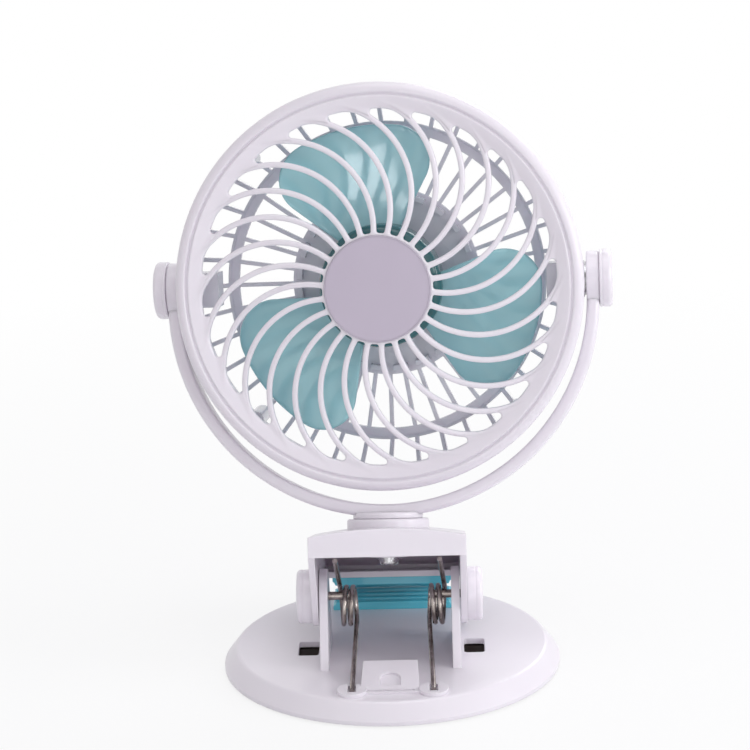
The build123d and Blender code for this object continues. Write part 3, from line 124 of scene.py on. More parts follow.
def turned_points(points: Array, degrees: Array | float) -> Array:
    """Points turned about the first two coordinates' origin.

    Args:
        points: an array whose last axis holds two or three coordinates.
        degrees: one angle, or an array of angles that becomes the first axis.

    Returns:
        The turned points: x cos a - y sin a, and x sin a + y cos a.
    """
    angle = np.radians(np.asarray(degrees, float))
    angle = angle.reshape(angle.shape + (1,) * (points.ndim - 1))
    x, y = points[..., 0], points[..., 1]
    repeats = angle.shape[: angle.ndim - points.ndim + 1]
    rest = np.broadcast_to(points[..., 2:], repeats + points[..., 2:].shape)
    flat = np.stack(
        (x * np.cos(angle) - y * np.sin(angle), x * np.sin(angle) + y * np.cos(angle)), axis=-1
    )
    return np.concatenate((flat, rest), axis=-1)


def arc_at(centre: Array, start: Array, end: Array, shares: Array) -> Array:
    """Points of the shorter arc about a centre from start to end, at shares of its length.

    The points are centre + radius (cos a, sin a), with a at the same shares of the turn.

    Args:
        centre: the arc's centre.
        start: its first point, which gives the radius.
        end: a point in the direction of its end.
        shares: places along it, from 0 to 1.

    Returns:
        One point for each share.
    """
    first, last = start - centre, end - centre
    turn = np.arctan2(first[0] * last[1] - first[1] * last[0], first @ last)
    angle = np.arctan2(first[1], first[0]) + turn * shares
    return centre + np.linalg.norm(first) * np.stack((np.cos(angle), np.sin(angle)), -1)


def arc_between(centre: Array, start: Array, end: Array, count: int) -> Array:
    """Equally spaced points of such an arc, from start up to, not including, end."""
    return arc_at(centre, start, end, np.arange(count) / count)


def rounded(outline: Sequence[Triple], steps: int, closed: bool = False) -> Array:
    """A polyline with an arc at each of its corners.

    An arc of radius r starts r / tan(h) before its corner, where h is half the inner angle,
    and its points are the two end spokes mixed by the sines of the angle left and passed.

    Args:
        outline: for each corner in order, its two coordinates and the radius of its arc,
            where 0 keeps it sharp.
        steps: points on each arc.
        closed: True where the last corner joins the first; else both ends stay as they are.

    Returns:
        The outline's points.
    """
    corners, radii = np.split(np.array(outline, float), (2,), axis=1)
    before = np.roll(corners, 1, 0) - corners
    after = np.roll(corners, -1, 0) - corners
    a = before / np.linalg.norm(before, axis=1, keepdims=True)
    b = after / np.linalg.norm(after, axis=1, keepdims=True)
    half = 0.5 * np.arccos(np.clip((a * b).sum(1), -1, 1))[:, None]
    cut = radii / np.tan(half)
    middle = (a + b) / np.linalg.norm(a + b, axis=1, keepdims=True)
    centre = corners + middle * (radii / np.sin(half))
    sweep = (np.pi - 2 * half)[..., None]
    t = np.linspace(0, 1, steps)[None, :, None]
    spokes = (corners + a * cut - centre)[:, None], (corners + b * cut - centre)[:, None]
    arcs = centre[:, None] + (
        np.sin((1 - t) * sweep) * spokes[0] + np.sin(t * sweep) * spokes[1]
    ) / np.sin(sweep)
    if closed:
        return arcs.reshape(-1, 2)
    return np.concatenate((corners[:1], arcs[1:-1].reshape(-1, 2), corners[-1:]))


def revolved(profile: Array, angles: Array) -> Array:
    """A profile of (radius, height) points carried round the Z axis.

    Args:
        profile: points of (radius, height).
        angles: the rows' angles, in radians.

    Returns:
        A grid whose row i, column j is (r_j cos a_i, r_j sin a_i, h_j).
    """
    around = np.stack((np.cos(angles), np.sin(angles)), -1)[:, None, :] * profile[None, :, :1]
    height = np.broadcast_to(profile[None, :, 1:], around.shape[:2] + (1,))
    return np.concatenate((around, height), axis=-1)


def whole_turn(count: int, start: float = 0.0) -> Array:
    """Equally spaced angles of a whole turn, in radians."""
    return start + 2 * np.pi * np.arange(count) / count


def laid(turned: Array, side: int, start: float, height: float = 0.0) -> Array:
    """A turned grid with its axis laid along X.

    Args:
        turned: the grid, turned about Z.
        side: 1 or -1, the way along X that its height goes.
        start: distance along X at which its height is 0.
        height: of its axis above the X axis.

    Returns:
        The grid (side (start + z), x, y + height).
    """
    return np.stack((side * (start + turned[..., 2]), turned[..., 0], turned[..., 1] + height), -1)


def linked(name: str, data: bpy.types.ID) -> bpy.types.Object:
    """Makes an object and links it to the scene.

    Args:
        name: its name.
        data: its mesh, lamp or camera.

    Returns:
        The object, at the origin.
    """
    made = bpy.data.objects.new(name, data)
    bpy.context.scene.collection.objects.link(made)
    return made


class Shell:
    """Gathers grids of points into one closed mesh object."""

    def __init__(self, name: str, placing: Placing = ROW) -> None:
        """Starts an empty shell.

        Args:
            name: the name of the piece.
            placing: the axes that its points are given in.
        """
        self.name = name
        self.placing = placing
        self.points: list[Array] = []
        self.faces: list[npt.NDArray[np.int64]] = []
        self.count = 0

    def grids(self, stack: Array, wrap_rows: bool = False, wrap_columns: bool = False) -> Shell:
        """Adds a stack of grids of quads.

        Args:
            stack: points of shape (grids, rows, columns, 3).
            wrap_rows: joins the last row to the first.
            wrap_columns: joins the last column to the first.

        Returns:
            The shell itself.
        """
        several, rows, columns = stack.shape[:3]
        r = np.arange(rows if wrap_rows else rows - 1)
        c = np.arange(columns if wrap_columns else columns - 1)
        r, c = np.meshgrid(r, c, indexing="ij")
        down, right = (r + 1) % rows, (c + 1) % columns
        quads = np.stack(
            (r * columns + c, r * columns + right, down * columns + right, down * columns + c), -1
        ).reshape(1, -1, 4)
        base = self.count + np.arange(several)[:, None, None] * rows * columns
        self.points.append(stack.reshape(-1, 3))
        self.faces.append((quads + base).reshape(-1, 4))
        self.count += several * rows * columns
        return self

    def grid(self, points: Array, wrap_rows: bool = False, wrap_columns: bool = False) -> Shell:
        """Adds one grid of quads."""
        return self.grids(points[None], wrap_rows, wrap_columns)

    def turn(self, profile: Array, count: int, start: float = 0.0) -> Shell:
        """Adds a profile of (radius, height) carried round Z, count times."""
        return self.grid(revolved(profile, whole_turn(count, start)), wrap_rows=True)

    def build(self, finish: bpy.types.Material, sharp: float = 32.0) -> bpy.types.Object:
        """Makes the object, with its doubles merged and its faces outward.

        Args:
            finish: the material of the whole piece.
            sharp: angle in degrees above which an edge stays sharp.

        Returns:
            The new object, at the origin, with its place in its mesh.
        """
        mesh = bpy.data.meshes.new(self.name)
        points = self.placing.place(np.concatenate(self.points))
        mesh.from_pydata(points.tolist(), [], np.concatenate(self.faces).tolist())
        work = bmesh.new()
        work.from_mesh(mesh)
        bmesh.ops.remove_doubles(work, verts=work.verts, dist=MERGE)
        bmesh.ops.dissolve_degenerate(work, edges=work.edges, dist=MERGE / 4)
        bmesh.ops.recalc_face_normals(work, faces=work.faces)
        work.to_mesh(mesh)
        work.free()
        mesh.polygons.foreach_set("use_smooth", np.ones(len(mesh.polygons), bool))
        mesh.set_sharp_from_angle(angle=np.radians(sharp))
        mesh.materials.append(finish)
        return linked(self.name, mesh)


def with_ends(grid: Array) -> Array:
    """Closes a tube.

    Args:
        grid: the tube, one ring of points a row.

    Returns:
        The grid with a row added at each end, all of it at the end ring's middle.
    """
    first = np.broadcast_to(grid[:1].mean(1, keepdims=True), grid[:1].shape)
    last = np.broadcast_to(grid[-1:].mean(1, keepdims=True), grid[-1:].shape)
    return np.concatenate((first, grid, last))


def settle(piece: bpy.types.Object, body: str, slot: str, *nodes: str) -> bpy.types.Object:
    """Puts a finished piece on its body, in place of the solids that it stands for.

    Args:
        piece: the finished object.
        body: name of the moving body that carries it.
        slot: the record's material slot; not used.
        nodes: the solids that it replaces.

    Returns:
        The piece.
    """
    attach(piece, body)
    if nodes:
        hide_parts(*nodes)
    LOG.info("%s rides on %s, %d faces", piece.name, body, len(piece.data.polygons))
    return piece


# ---------------------------------------------------------------- finishes


def tone(red: int, green: int, blue: int) -> Colour:
    """A colour as linear light.

    Args:
        red: its red as a screen value, from 0 to 255.
        green: its green.
        blue: its blue.

    Returns:
        Its red, green and blue from 0 to 1, and an alpha of 1.
    """
    value = np.array((red, green, blue)) / 255
    linear = np.where(value <= 0.04045, value / 12.92, ((value + 0.055) / 1.055) ** 2.4)
    return (float(linear[0]), float(linear[1]), float(linear[2]), 1.0)


class Tree:
    """Places and joins the nodes of one tree."""

    def __init__(self, tree: bpy.types.NodeTree, prefix: str = "ShaderNode") -> None:
        """Takes over a tree and empties it.

        Args:
            tree: the tree.
            prefix: what the types of its nodes start with.
        """
        self.tree, self.prefix = tree, prefix
        tree.nodes.clear()

    def add(
        self, kind: str, inputs: dict[str | int, object] | None = None, **settings: object
    ) -> bpy.types.Node:
        """Adds a node.

        Args:
            kind: the node's type, without the tree's prefix.
            inputs: for each input socket, a value or the socket that feeds it.
            settings: attributes of the node.

        Returns:
            The new node.
        """
        made = self.tree.nodes.new(self.prefix + kind)
        for key, value in settings.items():
            setattr(made, key, value)
        for key, value in (inputs or {}).items():
            if isinstance(value, bpy.types.NodeSocket):
                self.tree.links.new(value, made.inputs[key])
            else:
                made.inputs[key].default_value = value
        return made

    def mix(self, factor: object, a: object, b: object) -> bpy.types.NodeSocket:
        """Mixes two colours, or sockets of them."""
        return self.add("Mix", {0: factor, 6: a, 7: b}, data_type="RGBA").outputs[2]

    def math(self, way: str, a: object, b: object) -> bpy.types.NodeSocket:
        """Joins two values, or sockets of them, by an operation of the Math node."""
        return self.add("Math", {0: a, 1: b}, operation=way).outputs[0]

    def spread(
        self, value: object, low: object, high: object, start: float = 0.3, end: float = 0.7
    ) -> bpy.types.NodeSocket:
        """Maps a value linearly, without going past the ends.

        Args:
            value: the socket to map.
            low: the result at start and below it.
            high: the result at end and above it.
            start: the value that gives low.
            end: the value that gives high.

        Returns:
            The socket of the result.
        """
        ends = {"From Min": start, "From Max": end, "To Min": low, "To Max": high}
        return self.add("MapRange", {"Value": value, **ends}).outputs["Result"]

    def noise(
        self, scale: object, detail: float, where: bpy.types.NodeSocket | None = None
    ) -> bpy.types.NodeSocket:
        """Noise in space.

        Args:
            scale: how fine it is, for coordinates in metres.
            detail: how many finer layers it has.
            where: its coordinates; Object coordinates if none are given.

        Returns:
            The socket of its value, about 0.3 to 0.7.
        """
        place = where or self.add("TexCoord").outputs["Object"]
        inputs = {"Vector": place, "Scale": scale, "Detail": detail}
        return self.add("TexNoise", inputs).outputs[0]


COLOUR_SOCKET, VALUE_SOCKET = "NodeSocketColor", "NodeSocketFloat"
SKIN_OUTPUTS = {
    "Color": COLOUR_SOCKET, "Roughness": VALUE_SOCKET, "Normal": "NodeSocketVector",
}


class Effect:
    """A shader node group with named inputs and outputs, built once."""

    def __init__(self, name: str, inputs: dict[str, object], outputs: dict[str, str]) -> None:
        """Makes the group with its sockets, still empty inside.

        Args:
            name: the group's name.
            inputs: each input's default; a tuple makes it a colour, else it is a number.
            outputs: each output's socket type.
        """
        self.group = bpy.data.node_groups.new(name, "ShaderNodeTree")
        self.inside = Tree(self.group)
        for label, default in inputs.items():
            kind = COLOUR_SOCKET if isinstance(default, tuple) else VALUE_SOCKET
            socket = self.group.interface.new_socket(label, in_out="INPUT", socket_type=kind)
            socket.default_value = default
        for label, kind in outputs.items():
            self.group.interface.new_socket(label, in_out="OUTPUT", socket_type=kind)
        self.given = self.group.nodes.new("NodeGroupInput").outputs
        self.results = self.group.nodes.new("NodeGroupOutput").inputs

    def gives(self, **sockets: bpy.types.NodeSocket) -> None:
        """Joins sockets of the inside to the group's outputs."""
        for label, socket in sockets.items():
            self.group.links.new(socket, self.results[label])

    def place(self, tree: Tree, inputs: dict[str, object]) -> bpy.types.Node:
        """Puts the group into a material's tree with its own values."""
        return tree.add("Group", inputs, node_tree=self.group)


class Effects:
    """The node groups that the finishes share.

    Moulded, metal and porous skins have the same outputs and mostly the same inputs, so a
    finish fills in whichever it uses in one way. All lengths in them are in metres.
    """

    def __init__(self) -> None:
        """Builds each group once."""
        self.moulded = self._moulded_skin()
        self.metal = self._drawn_metal()
        self.porous = self._fine_pores()
        self.dust = self._settled_dust()

    @staticmethod
    def _skin(name: str, **more: object) -> Effect:
        """A group with the sockets that every skin has.

        Args:
            name: its name.
            more: its other inputs, with their defaults.

        Returns:
            The group, still empty inside.
        """
        shared = {
            "Color": tone(228, 228, 228), "Second Color": tone(200, 200, 200), "Amount": 0.5,
            "Relief Depth": 0.1, "Smoothest": 0.25, "Roughest": 0.4,
        }
        return Effect(name, {**shared, **more}, SKIN_OUTPUTS)

    @classmethod
    def _moulded_skin(cls) -> Effect:
        """Moulded plastic: broad cloudiness, a slight orange peel, and edges rubbed paler.

        Returns:
            The group, with its inside built.
        """
        effect = cls._skin(
            "moulded_skin",
            **{"Edge Color": tone(243, 243, 243), "Edge Wear": 0.4, "Relief Scale": 700.0},
        )
        tree, given = effect.inside, effect.given
        cloud = tree.spread(tree.noise(scale=34.0, detail=3.0), 0.0, given["Amount"])
        colour = tree.mix(cloud, given["Color"], given["Second Color"])
        soft = tree.add("Bevel", {"Radius": 0.00045}, samples=4).outputs[0]
        true = tree.add("NewGeometry").outputs["Normal"]
        facing = tree.add("VectorMath", {0: soft, 1: true}, operation="DOT_PRODUCT")
        edge = tree.spread(facing.outputs["Value"], given["Edge Wear"], 0.0, start=0.80, end=0.985)
        broken = tree.spread(tree.noise(scale=260.0, detail=3.0), 0.35, 1.0)
        patchy = tree.math("MULTIPLY", edge, broken)
        peel = tree.noise(given["Relief Scale"], detail=1.5)
        gloss = tree.noise(scale=45.0, detail=1.5)
        relief = {
            "Strength": given["Relief Depth"], "Distance": 0.0004, "Height": peel,
            "Normal": soft,
        }
        effect.gives(
            Color=tree.mix(patchy, colour, given["Edge Color"]),
            Roughness=tree.spread(gloss, given["Smoothest"], given["Roughest"]),
            Normal=tree.add("Bump", relief).outputs[0],
        )
        return effect

    @classmethod
    def _drawn_metal(cls) -> Effect:
        """Drawn or turned metal: long fine lines, dark stain in patches, uneven gloss.

        Returns:
            The group, with its inside built.
        """
        effect = cls._skin("drawn_metal")
        tree, given = effect.inside, effect.given
        place = tree.add("TexCoord").outputs["Object"]
        stretch = tree.add("Mapping", {"Vector": place, "Scale": (8.0, 1.0, 1.0)}).outputs[0]
        lines = tree.noise(scale=900.0, detail=3.0, where=stretch)
        patches = tree.noise(scale=180.0, detail=5.0)
        stain = tree.spread(patches, 0.0, given["Amount"], start=0.42, end=0.68)
        relief = {"Strength": given["Relief Depth"], "Distance": 0.0002, "Height": lines}
        effect.gives(
            Color=tree.mix(stain, given["Color"], given["Second Color"]),
            Roughness=tree.spread(lines, given["Smoothest"], given["Roughest"]),
            Normal=tree.add("Bump", relief).outputs[0],
        )
        return effect

    @classmethod
    def _fine_pores(cls) -> Effect:
        """Rubber, foil and cast faces: fine pores, a mottled tint and an uneven sheen.

        Returns:
            The group, with its inside built.
        """
        effect = cls._skin("fine_pores", **{"Relief Scale": 1500.0})
        tree, given = effect.inside, effect.given
        mottle = tree.spread(tree.noise(scale=150.0, detail=4.0), 0.0, given["Amount"])
        gloss = tree.noise(scale=300.0, detail=3.0)
        place = tree.add("TexCoord").outputs["Object"]
        cells = tree.add("TexVoronoi", {"Vector": place, "Scale": given["Relief Scale"]})
        relief = {
            "Strength": given["Relief Depth"], "Distance": 0.0002, "Height": cells.outputs[0],
        }
        effect.gives(
            Color=tree.mix(mottle, given["Color"], given["Second Color"]),
            Roughness=tree.spread(gloss, given["Smoothest"], given["Roughest"]),
            Normal=tree.add("Bump", relief).outputs[0],
        )
        return effect

    @staticmethod
    def _settled_dust() -> Effect:
        """A thin veil of dust where a face looks up, broken by noise.

        Returns:
            The group, with its inside built.
        """
        effect = Effect(
            "settled_dust",
            {"Color": tone(228, 228, 228), "Dust Color": (0.6, 0.57, 0.52, 1.0), "Amount": 0.1},
            {"Color": COLOUR_SOCKET},
        )
        tree, given = effect.inside, effect.given
        normal = tree.add("NewGeometry").outputs["Normal"]
        up = tree.add("SeparateXYZ", {0: normal}).outputs[2]
        lying = tree.spread(up, 0.0, given["Amount"], start=0.2, end=1.0)
        grain = tree.noise(scale=420.0, detail=5.0)
        broken = tree.spread(grain, 0.2, 1.0, start=0.35, end=0.65)
        mask = tree.math("MULTIPLY", lying, broken)
        effect.gives(Color=tree.mix(mask, given["Color"], given["Dust Color"]))
        return effect


class Surface(Enum):
    """The kinds of surface that a finish can be."""

    MOULDED = "moulded plastic"
    CLEAR = "see-through plastic"
    METAL = "bare metal"
    POROUS = "rubber, foil or cast metal"


@dataclass(frozen=True)
class Finish:
    """One material: its colours, gloss and fine relief."""

    name: str
    surface: Surface
    colour: Colour
    second: Colour
    amount: float = 0.5
    smoothest: float = 0.25
    roughest: float = 0.4
    scale: float = 700.0
    depth: float = 0.08
    dust: float = 0.0
    edge: float = 0.3
    transmission: float = 0.0
    subsurface: float = 0.0
    coat: float = 0.0

    def material(self, effects: Effects) -> bpy.types.Material:
        """Builds the material.

        Args:
            effects: the shared node groups.

        Returns:
            The material, under the finish's name.
        """
        made = bpy.data.materials.new(self.name)
        made.use_nodes = True
        tree = Tree(made.node_tree)
        inputs = {
            "Color": self.colour, "Second Color": self.second, "Amount": self.amount,
            "Relief Depth": self.depth, "Smoothest": self.smoothest, "Roughest": self.roughest,
        }
        effect = effects.metal
        if self.surface is not Surface.METAL:
            effect = effects.porous
            inputs["Relief Scale"] = self.scale
        if self.surface in (Surface.MOULDED, Surface.CLEAR):
            effect = effects.moulded
            pale = tuple(min(1.0, c * 0.5 + 0.5) for c in self.colour[:3])
            inputs.update({"Edge Color": (*pale, 1.0), "Edge Wear": self.edge})
        skin = effect.place(tree, inputs)
        colour = skin.outputs["Color"]
        if self.dust:
            veil = effects.dust.place(tree, {"Color": colour, "Amount": self.dust})
            colour = veil.outputs["Color"]
        shader = tree.add("BsdfPrincipled", {
            "Base Color": colour, "Roughness": skin.outputs["Roughness"],
            "Normal": skin.outputs["Normal"], "Metallic": float(self.surface is Surface.METAL),
            "Transmission Weight": self.transmission, "Coat Weight": self.coat,
            "Subsurface Weight": self.subsurface, "Subsurface Radius": (1.0, 0.9, 0.95),
            "Subsurface Scale": 0.002, "Coat Roughness": 0.06, "IOR": 1.49,
        })
        tree.add("OutputMaterial", {"Surface": shader.outputs[0]})
        return made


FINISHES = (
    Finish(
        "white_plastic", Surface.MOULDED, tone(232, 227, 234), tone(226, 220, 229),
        amount=0.35, smoothest=0.30, roughest=0.33, scale=420.0, depth=0.01, dust=0.02, edge=0.0,
        subsurface=0.35, coat=0.15,
    ),
    # A lighter, cooler copy of the white plastic for the rear housing: its extra lightness is
    # painted light, standing in for the light that the cage lacks in shade behind the grille.
    Finish(
        "cage_plastic_painted_light", Surface.MOULDED, tone(232, 229, 237), tone(226, 223, 231),
        amount=0.35, smoothest=0.24, roughest=0.28, scale=420.0, depth=0.01, edge=0.0,
        subsurface=0.35, coat=0.3,
    ),
    # The centre cap is the same white plastic; this darker, pinker tone is painted shade.
    Finish(
        "cap_plastic", Surface.MOULDED, tone(194, 184, 200), tone(186, 176, 192),
        smoothest=0.40, roughest=0.52, scale=900.0, depth=0.05, dust=0.05,
    ),
    Finish(
        "teal_blades", Surface.CLEAR, tone(180, 234, 240), tone(164, 224, 234),
        smoothest=0.16, roughest=0.22, scale=90.0, depth=0.05,
        transmission=0.25, coat=0.9,
    ),
    # The hub is the blades' plastic in a deeper, opaque teal, and part of its darkness is painted
    # shade.
    Finish(
        "teal_hub_deep_and_painted_shade", Surface.MOULDED, tone(58, 112, 116), tone(44, 92, 98),
        smoothest=0.18, roughest=0.30, scale=500.0, depth=0.05, edge=0.35, coat=0.3,
    ),
    Finish(
        "teal_pad", Surface.MOULDED, tone(104, 208, 226), tone(84, 192, 214),
        amount=0.6, smoothest=0.34, roughest=0.40, depth=0.02, edge=0.1, coat=0.3,
    ),
    Finish(
        "spring_steel", Surface.METAL, tone(178, 170, 166), tone(96, 84, 78),
        amount=0.7, smoothest=0.12, roughest=0.28, depth=0.2,
    ),
    Finish(
        "zinc_screws", Surface.METAL, tone(200, 200, 204), tone(130, 126, 120),
        amount=0.4, smoothest=0.18, roughest=0.36, depth=0.12,
    ),
    Finish(
        "motor_steel", Surface.METAL, tone(172, 172, 176), tone(112, 110, 108),
        smoothest=0.25, roughest=0.45, depth=0.2,
    ),
    Finish(
        "bronze", Surface.METAL, tone(176, 132, 84), tone(110, 74, 44),
        smoothest=0.3, roughest=0.5, depth=0.2,
    ),
    Finish(
        "copper", Surface.METAL, tone(196, 120, 80), tone(130, 68, 40),
        smoothest=0.22, roughest=0.4, depth=0.2,
    ),
    Finish(
        "ballast_iron", Surface.POROUS, tone(44, 38, 36), tone(66, 50, 42),
        amount=0.6, smoothest=0.6, roughest=0.85, scale=900.0, depth=0.4,
    ),
    Finish(
        "magnet", Surface.POROUS, tone(60, 60, 62), tone(80, 80, 84),
        amount=0.4, smoothest=0.5, roughest=0.7, scale=1800.0, depth=0.2,
    ),
    Finish(
        "foot_rubber", Surface.POROUS, tone(46, 46, 49), tone(62, 61, 62),
        smoothest=0.6, roughest=0.85, scale=1400.0, depth=0.3, dust=0.2,
    ),
    Finish(
        "black_plastic", Surface.MOULDED, tone(34, 34, 36), tone(44, 44, 46),
        smoothest=0.4, roughest=0.55, scale=900.0, depth=0.1,
    ),
    Finish(
        "board_green", Surface.POROUS, tone(26, 92, 60), tone(38, 116, 72),
        amount=0.6, smoothest=0.3, roughest=0.45, depth=0.1,
    ),
    Finish(
        "battery_wrap", Surface.POROUS, tone(176, 178, 184), tone(150, 152, 160),
        amount=0.6, smoothest=0.3, roughest=0.5, scale=600.0, depth=0.25,
    ),
    Finish(
        "clear_lens", Surface.CLEAR, tone(232, 238, 240), tone(214, 226, 232),
        amount=0.4, smoothest=0.04, roughest=0.1, scale=500.0, depth=0.03, edge=0.2,
        transmission=0.9,
    ),
)


# ---------------------------------------------------------------- solids that keep their shape


@dataclass
class KeptSolids:
    """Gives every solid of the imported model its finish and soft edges.

    Points nearer than weld, in metres, become one. Edges above the angle sharp stay sharp.
    A beaded solid has its faces joined where they lie within the angle flat, then a round of
    the given width along its edges above bead_angle.
    """

    paints: Paints
    # the rear housing wears the lighter, cooler copy of the white plastic, which is painted light
    # for its shade behind the grille
    own: dict[str, str] = field(default_factory=lambda: {"rear_housing": "cage_plastic_painted_light"})
    weld: float = 1e-6
    sharp: float = 30.0
    flat: float = 0.05
    beaded: dict[str, float] = field(
        default_factory=lambda: {"base_disc": 0.35, "jaw_shell": 0.5, "swivel_collar": 0.25}
    )
    bead_segments: int = 3
    bead_angle: float = 40.0

    def _smoothing(self) -> bpy.types.NodeTree:
        """Builds the modifier that smooths a solid.

        Returns:
            A geometry node group that merges doubles and smooths all edges but the sharp ones.
        """
        group = bpy.data.node_groups.new("smooth_solid", "GeometryNodeTree")
        for way in ("INPUT", "OUTPUT"):
            group.interface.new_socket("Geometry", in_out=way, socket_type="NodeSocketGeometry")
        tree = Tree(group, prefix="")
        given = tree.add("NodeGroupInput").outputs[0]
        doubles = {"Geometry": given, "Distance": self.weld}
        merged = tree.add("GeometryNodeMergeByDistance", doubles)
        faces = tree.add("GeometryNodeSetShadeSmooth", {"Geometry": merged.outputs[0]})
        angle = tree.add("GeometryNodeInputMeshEdgeAngle").outputs["Unsigned Angle"]
        sharp = tree.add("FunctionNodeCompare", {0: angle, 1: np.radians(self.sharp)})
        edges = {
            "Geometry": faces.outputs[0], "Selection": sharp.outputs[0], "Shade Smooth": False,
        }
        result = tree.add("GeometryNodeSetShadeSmooth", edges, domain="EDGE")
        tree.add("NodeGroupOutput", {0: result.outputs[0]})
        return group

    def dress(self) -> None:
        """Puts the finishes on, then the smoothing, then the bead on the named solids."""
        smoothing = self._smoothing()
        slots = {s["node"]: s["material_slot"] for s in frame["record"]["subparts"]}
        for name, node in frame["nodes"].items():
            node.data.materials.clear()
            finish = self.own.get(name, slots[name])
            node.data.materials.append(self.paints[finish])
            modifier = node.modifiers.new("smooth_solid", "NODES")
            modifier.node_group = smoothing
            if name in self.beaded:
                merged = node.modifiers.new("flat_faces", "DECIMATE")
                merged.decimate_type = "DISSOLVE"
                merged.angle_limit = np.radians(self.flat)
                bead = node.modifiers.new("bead", "BEVEL")
                bead.width = self.beaded[name] * MM
                bead.segments = self.bead_segments
                bead.limit_method = "ANGLE"
                bead.angle_limit = np.radians(self.bead_angle)
                bead.harden_normals = True
            LOG.info("%s keeps its solid, finish %s", name, finish)


# ---------------------------------------------------------------- head


@dataclass
class FrontGrille:
    """The moulded front: rounded rim, crease, flat annulus and curved ribs round a seat."""

    ring_radius: float = 72.5
    ring_back: float = 7.5
    ring_wall: float = 1.9
    face: float = 20.5
    lip: float = 3.6
    crease_radius: float = 68.4
    crease_half: float = 0.75
    crease_depth: float = 1.1
    thickness: float = 2.2
    dome: float = 2.4
    dip: float = 1.2
    outer: float = 63.1
    inner: float = 19.6
    join_outer: float = 66.0
    join_inner: float = 18.9
    seat_depth: float = 1.2
    ribs: int = 26
    rib_width: float = 2.0
    rib_radii: tuple[float, float, float] = (17.6, 50.9, 65.1)
    rib_turns: tuple[float, float, float] = (0.0, 15.0, 34.0)
    first_rib: float = 9.9
    outer_round: float = 11.0
    tip_round: float = 1.2
    inner_round: float = 0.85
    front_edge: float = 0.68
    back_edge: float = 0.3
    along: int = 24
    corner: int = 5
    corner_shares: tuple[float, float] = (0.03, 0.88)
    across: int = 6
    root: int = 2
    front_rows: int = 6
    back_rows: int = 4

    def height(self, radius: Array) -> Array:
        """Height of the front face: a ball's cap, and round it an annulus.

        The cap stands above its edge by the root of b^2 - r^2 less the root of b^2 - o^2,
        for a ball of radius b = (o^2 + d^2) / 2d, with o the cap's radius and d its rise.
        The annulus slopes evenly up to the rim by dip.

        Args:
            radius: distances from the axis.

        Returns:
            One height for each.
        """
        rise = self.dome + self.dip
        ball = (self.outer**2 + rise**2) / (2 * rise)
        inside = np.sqrt(ball**2 - np.minimum(radius, self.outer) ** 2)
        across = (radius - self.outer) / (self.crease_radius - self.crease_half - self.outer)
        edge = self.face - self.dip * (1 - np.clip(across, 0, 1))
        return edge + inside - np.sqrt(ball**2 - self.outer**2)

    def _rib_circle(self) -> tuple[Array, float]:
        """The circle through the three points of a rib's middle line.

        The centre c solves 2 (p_i - p_0) c = |p_i|^2 - |p_0|^2 for the other two points.

        Returns:
            Its centre and its radius.
        """
        points = polar(np.array(self.rib_radii), np.array(self.rib_turns))
        rows = 2 * (points[1:] - points[0])
        squares = (points**2).sum(1)
        centre = np.linalg.solve(rows, squares[1:] - squares[0])
        return centre, float(np.linalg.norm(points[0] - centre))

    def _meet(self, shift: float, radius: float) -> Array:
        """Where a rib's middle circle, grown by shift, crosses a circle about the axis.

        With d the centre's distance, the crossing lies (r^2 - b^2 + d^2) / 2d along the line
        to the centre, and the rest of r to one side of it.

        Args:
            shift: what is added to the radius of the rib's circle.
            radius: of the circle about the axis.

        Returns:
            Of the two crossings, the one on the rib.
        """
        centre, bend = self._rib_circle()
        distance = float(np.linalg.norm(centre))
        along = (radius**2 - (bend + shift) ** 2 + distance**2) / (2 * distance)
        aside = np.sqrt(radius**2 - along**2)
        ahead = centre / distance
        left = np.array((-ahead[1], ahead[0]))
        both = ahead * along + np.array([[1.0], [-1.0]]) * left * aside
        near = polar(radius, np.interp(radius, self.rib_radii, self.rib_turns))
        return both[np.argmin(np.linalg.norm(both - near, axis=1))]

    def _loops(self) -> tuple[Array, Array]:
        """One opening's outline, and the loop round it that its neighbours share.

        The outline is the inner side of one rib, an arc of the annulus, the outer side of
        the next rib and an arc of the seat, with a true arc in each corner.

        Returns:
            Two closed loops with the same number of points.
        """
        pitch = 360 / self.ribs
        centre, bend = self._rib_circle()
        next_centre = turned_points(centre, pitch)
        half, big, small = self.rib_width / 2, self.outer_round, self.inner_round
        tip = self.tip_round
        low_in = self._meet(-half - small, self.inner + small)
        low_out = self._meet(-half - big, self.outer - big)
        high_out = turned_points(self._meet(half + tip, self.outer - tip), pitch)
        high_in = turned_points(self._meet(half + small, self.inner + small), pitch)

        def on(middle: Array, radius: float, corner: Array) -> Array:
            """The point of a circle that faces a corner's centre."""
            return middle + (corner - middle) / np.linalg.norm(corner - middle) * radius

        origin = np.zeros(2)
        touches = (
            (low_in, on(origin, self.inner, low_in), on(centre, bend - half, low_in)),
            (low_out, on(centre, bend - half, low_out), on(origin, self.outer, low_out)),
            (high_out, on(origin, self.outer, high_out), on(next_centre, bend + half, high_out)),
            (high_in, on(next_centre, bend + half, high_in), on(origin, self.inner, high_in)),
        )
        sides = (
            (centre, self.along), (origin, self.across),
            (next_centre, self.along), (origin, self.root),
        )
        parts = []
        for index, (middle, start, end) in enumerate(touches):
            parts.append(arc_between(middle, start, end, 2 * self.corner))
            side_centre, count = sides[index]
            parts.append(arc_between(side_centre, end, touches[(index + 1) % 4][1], count))
        outline = np.roll(np.concatenate(parts), -self.corner, axis=0)

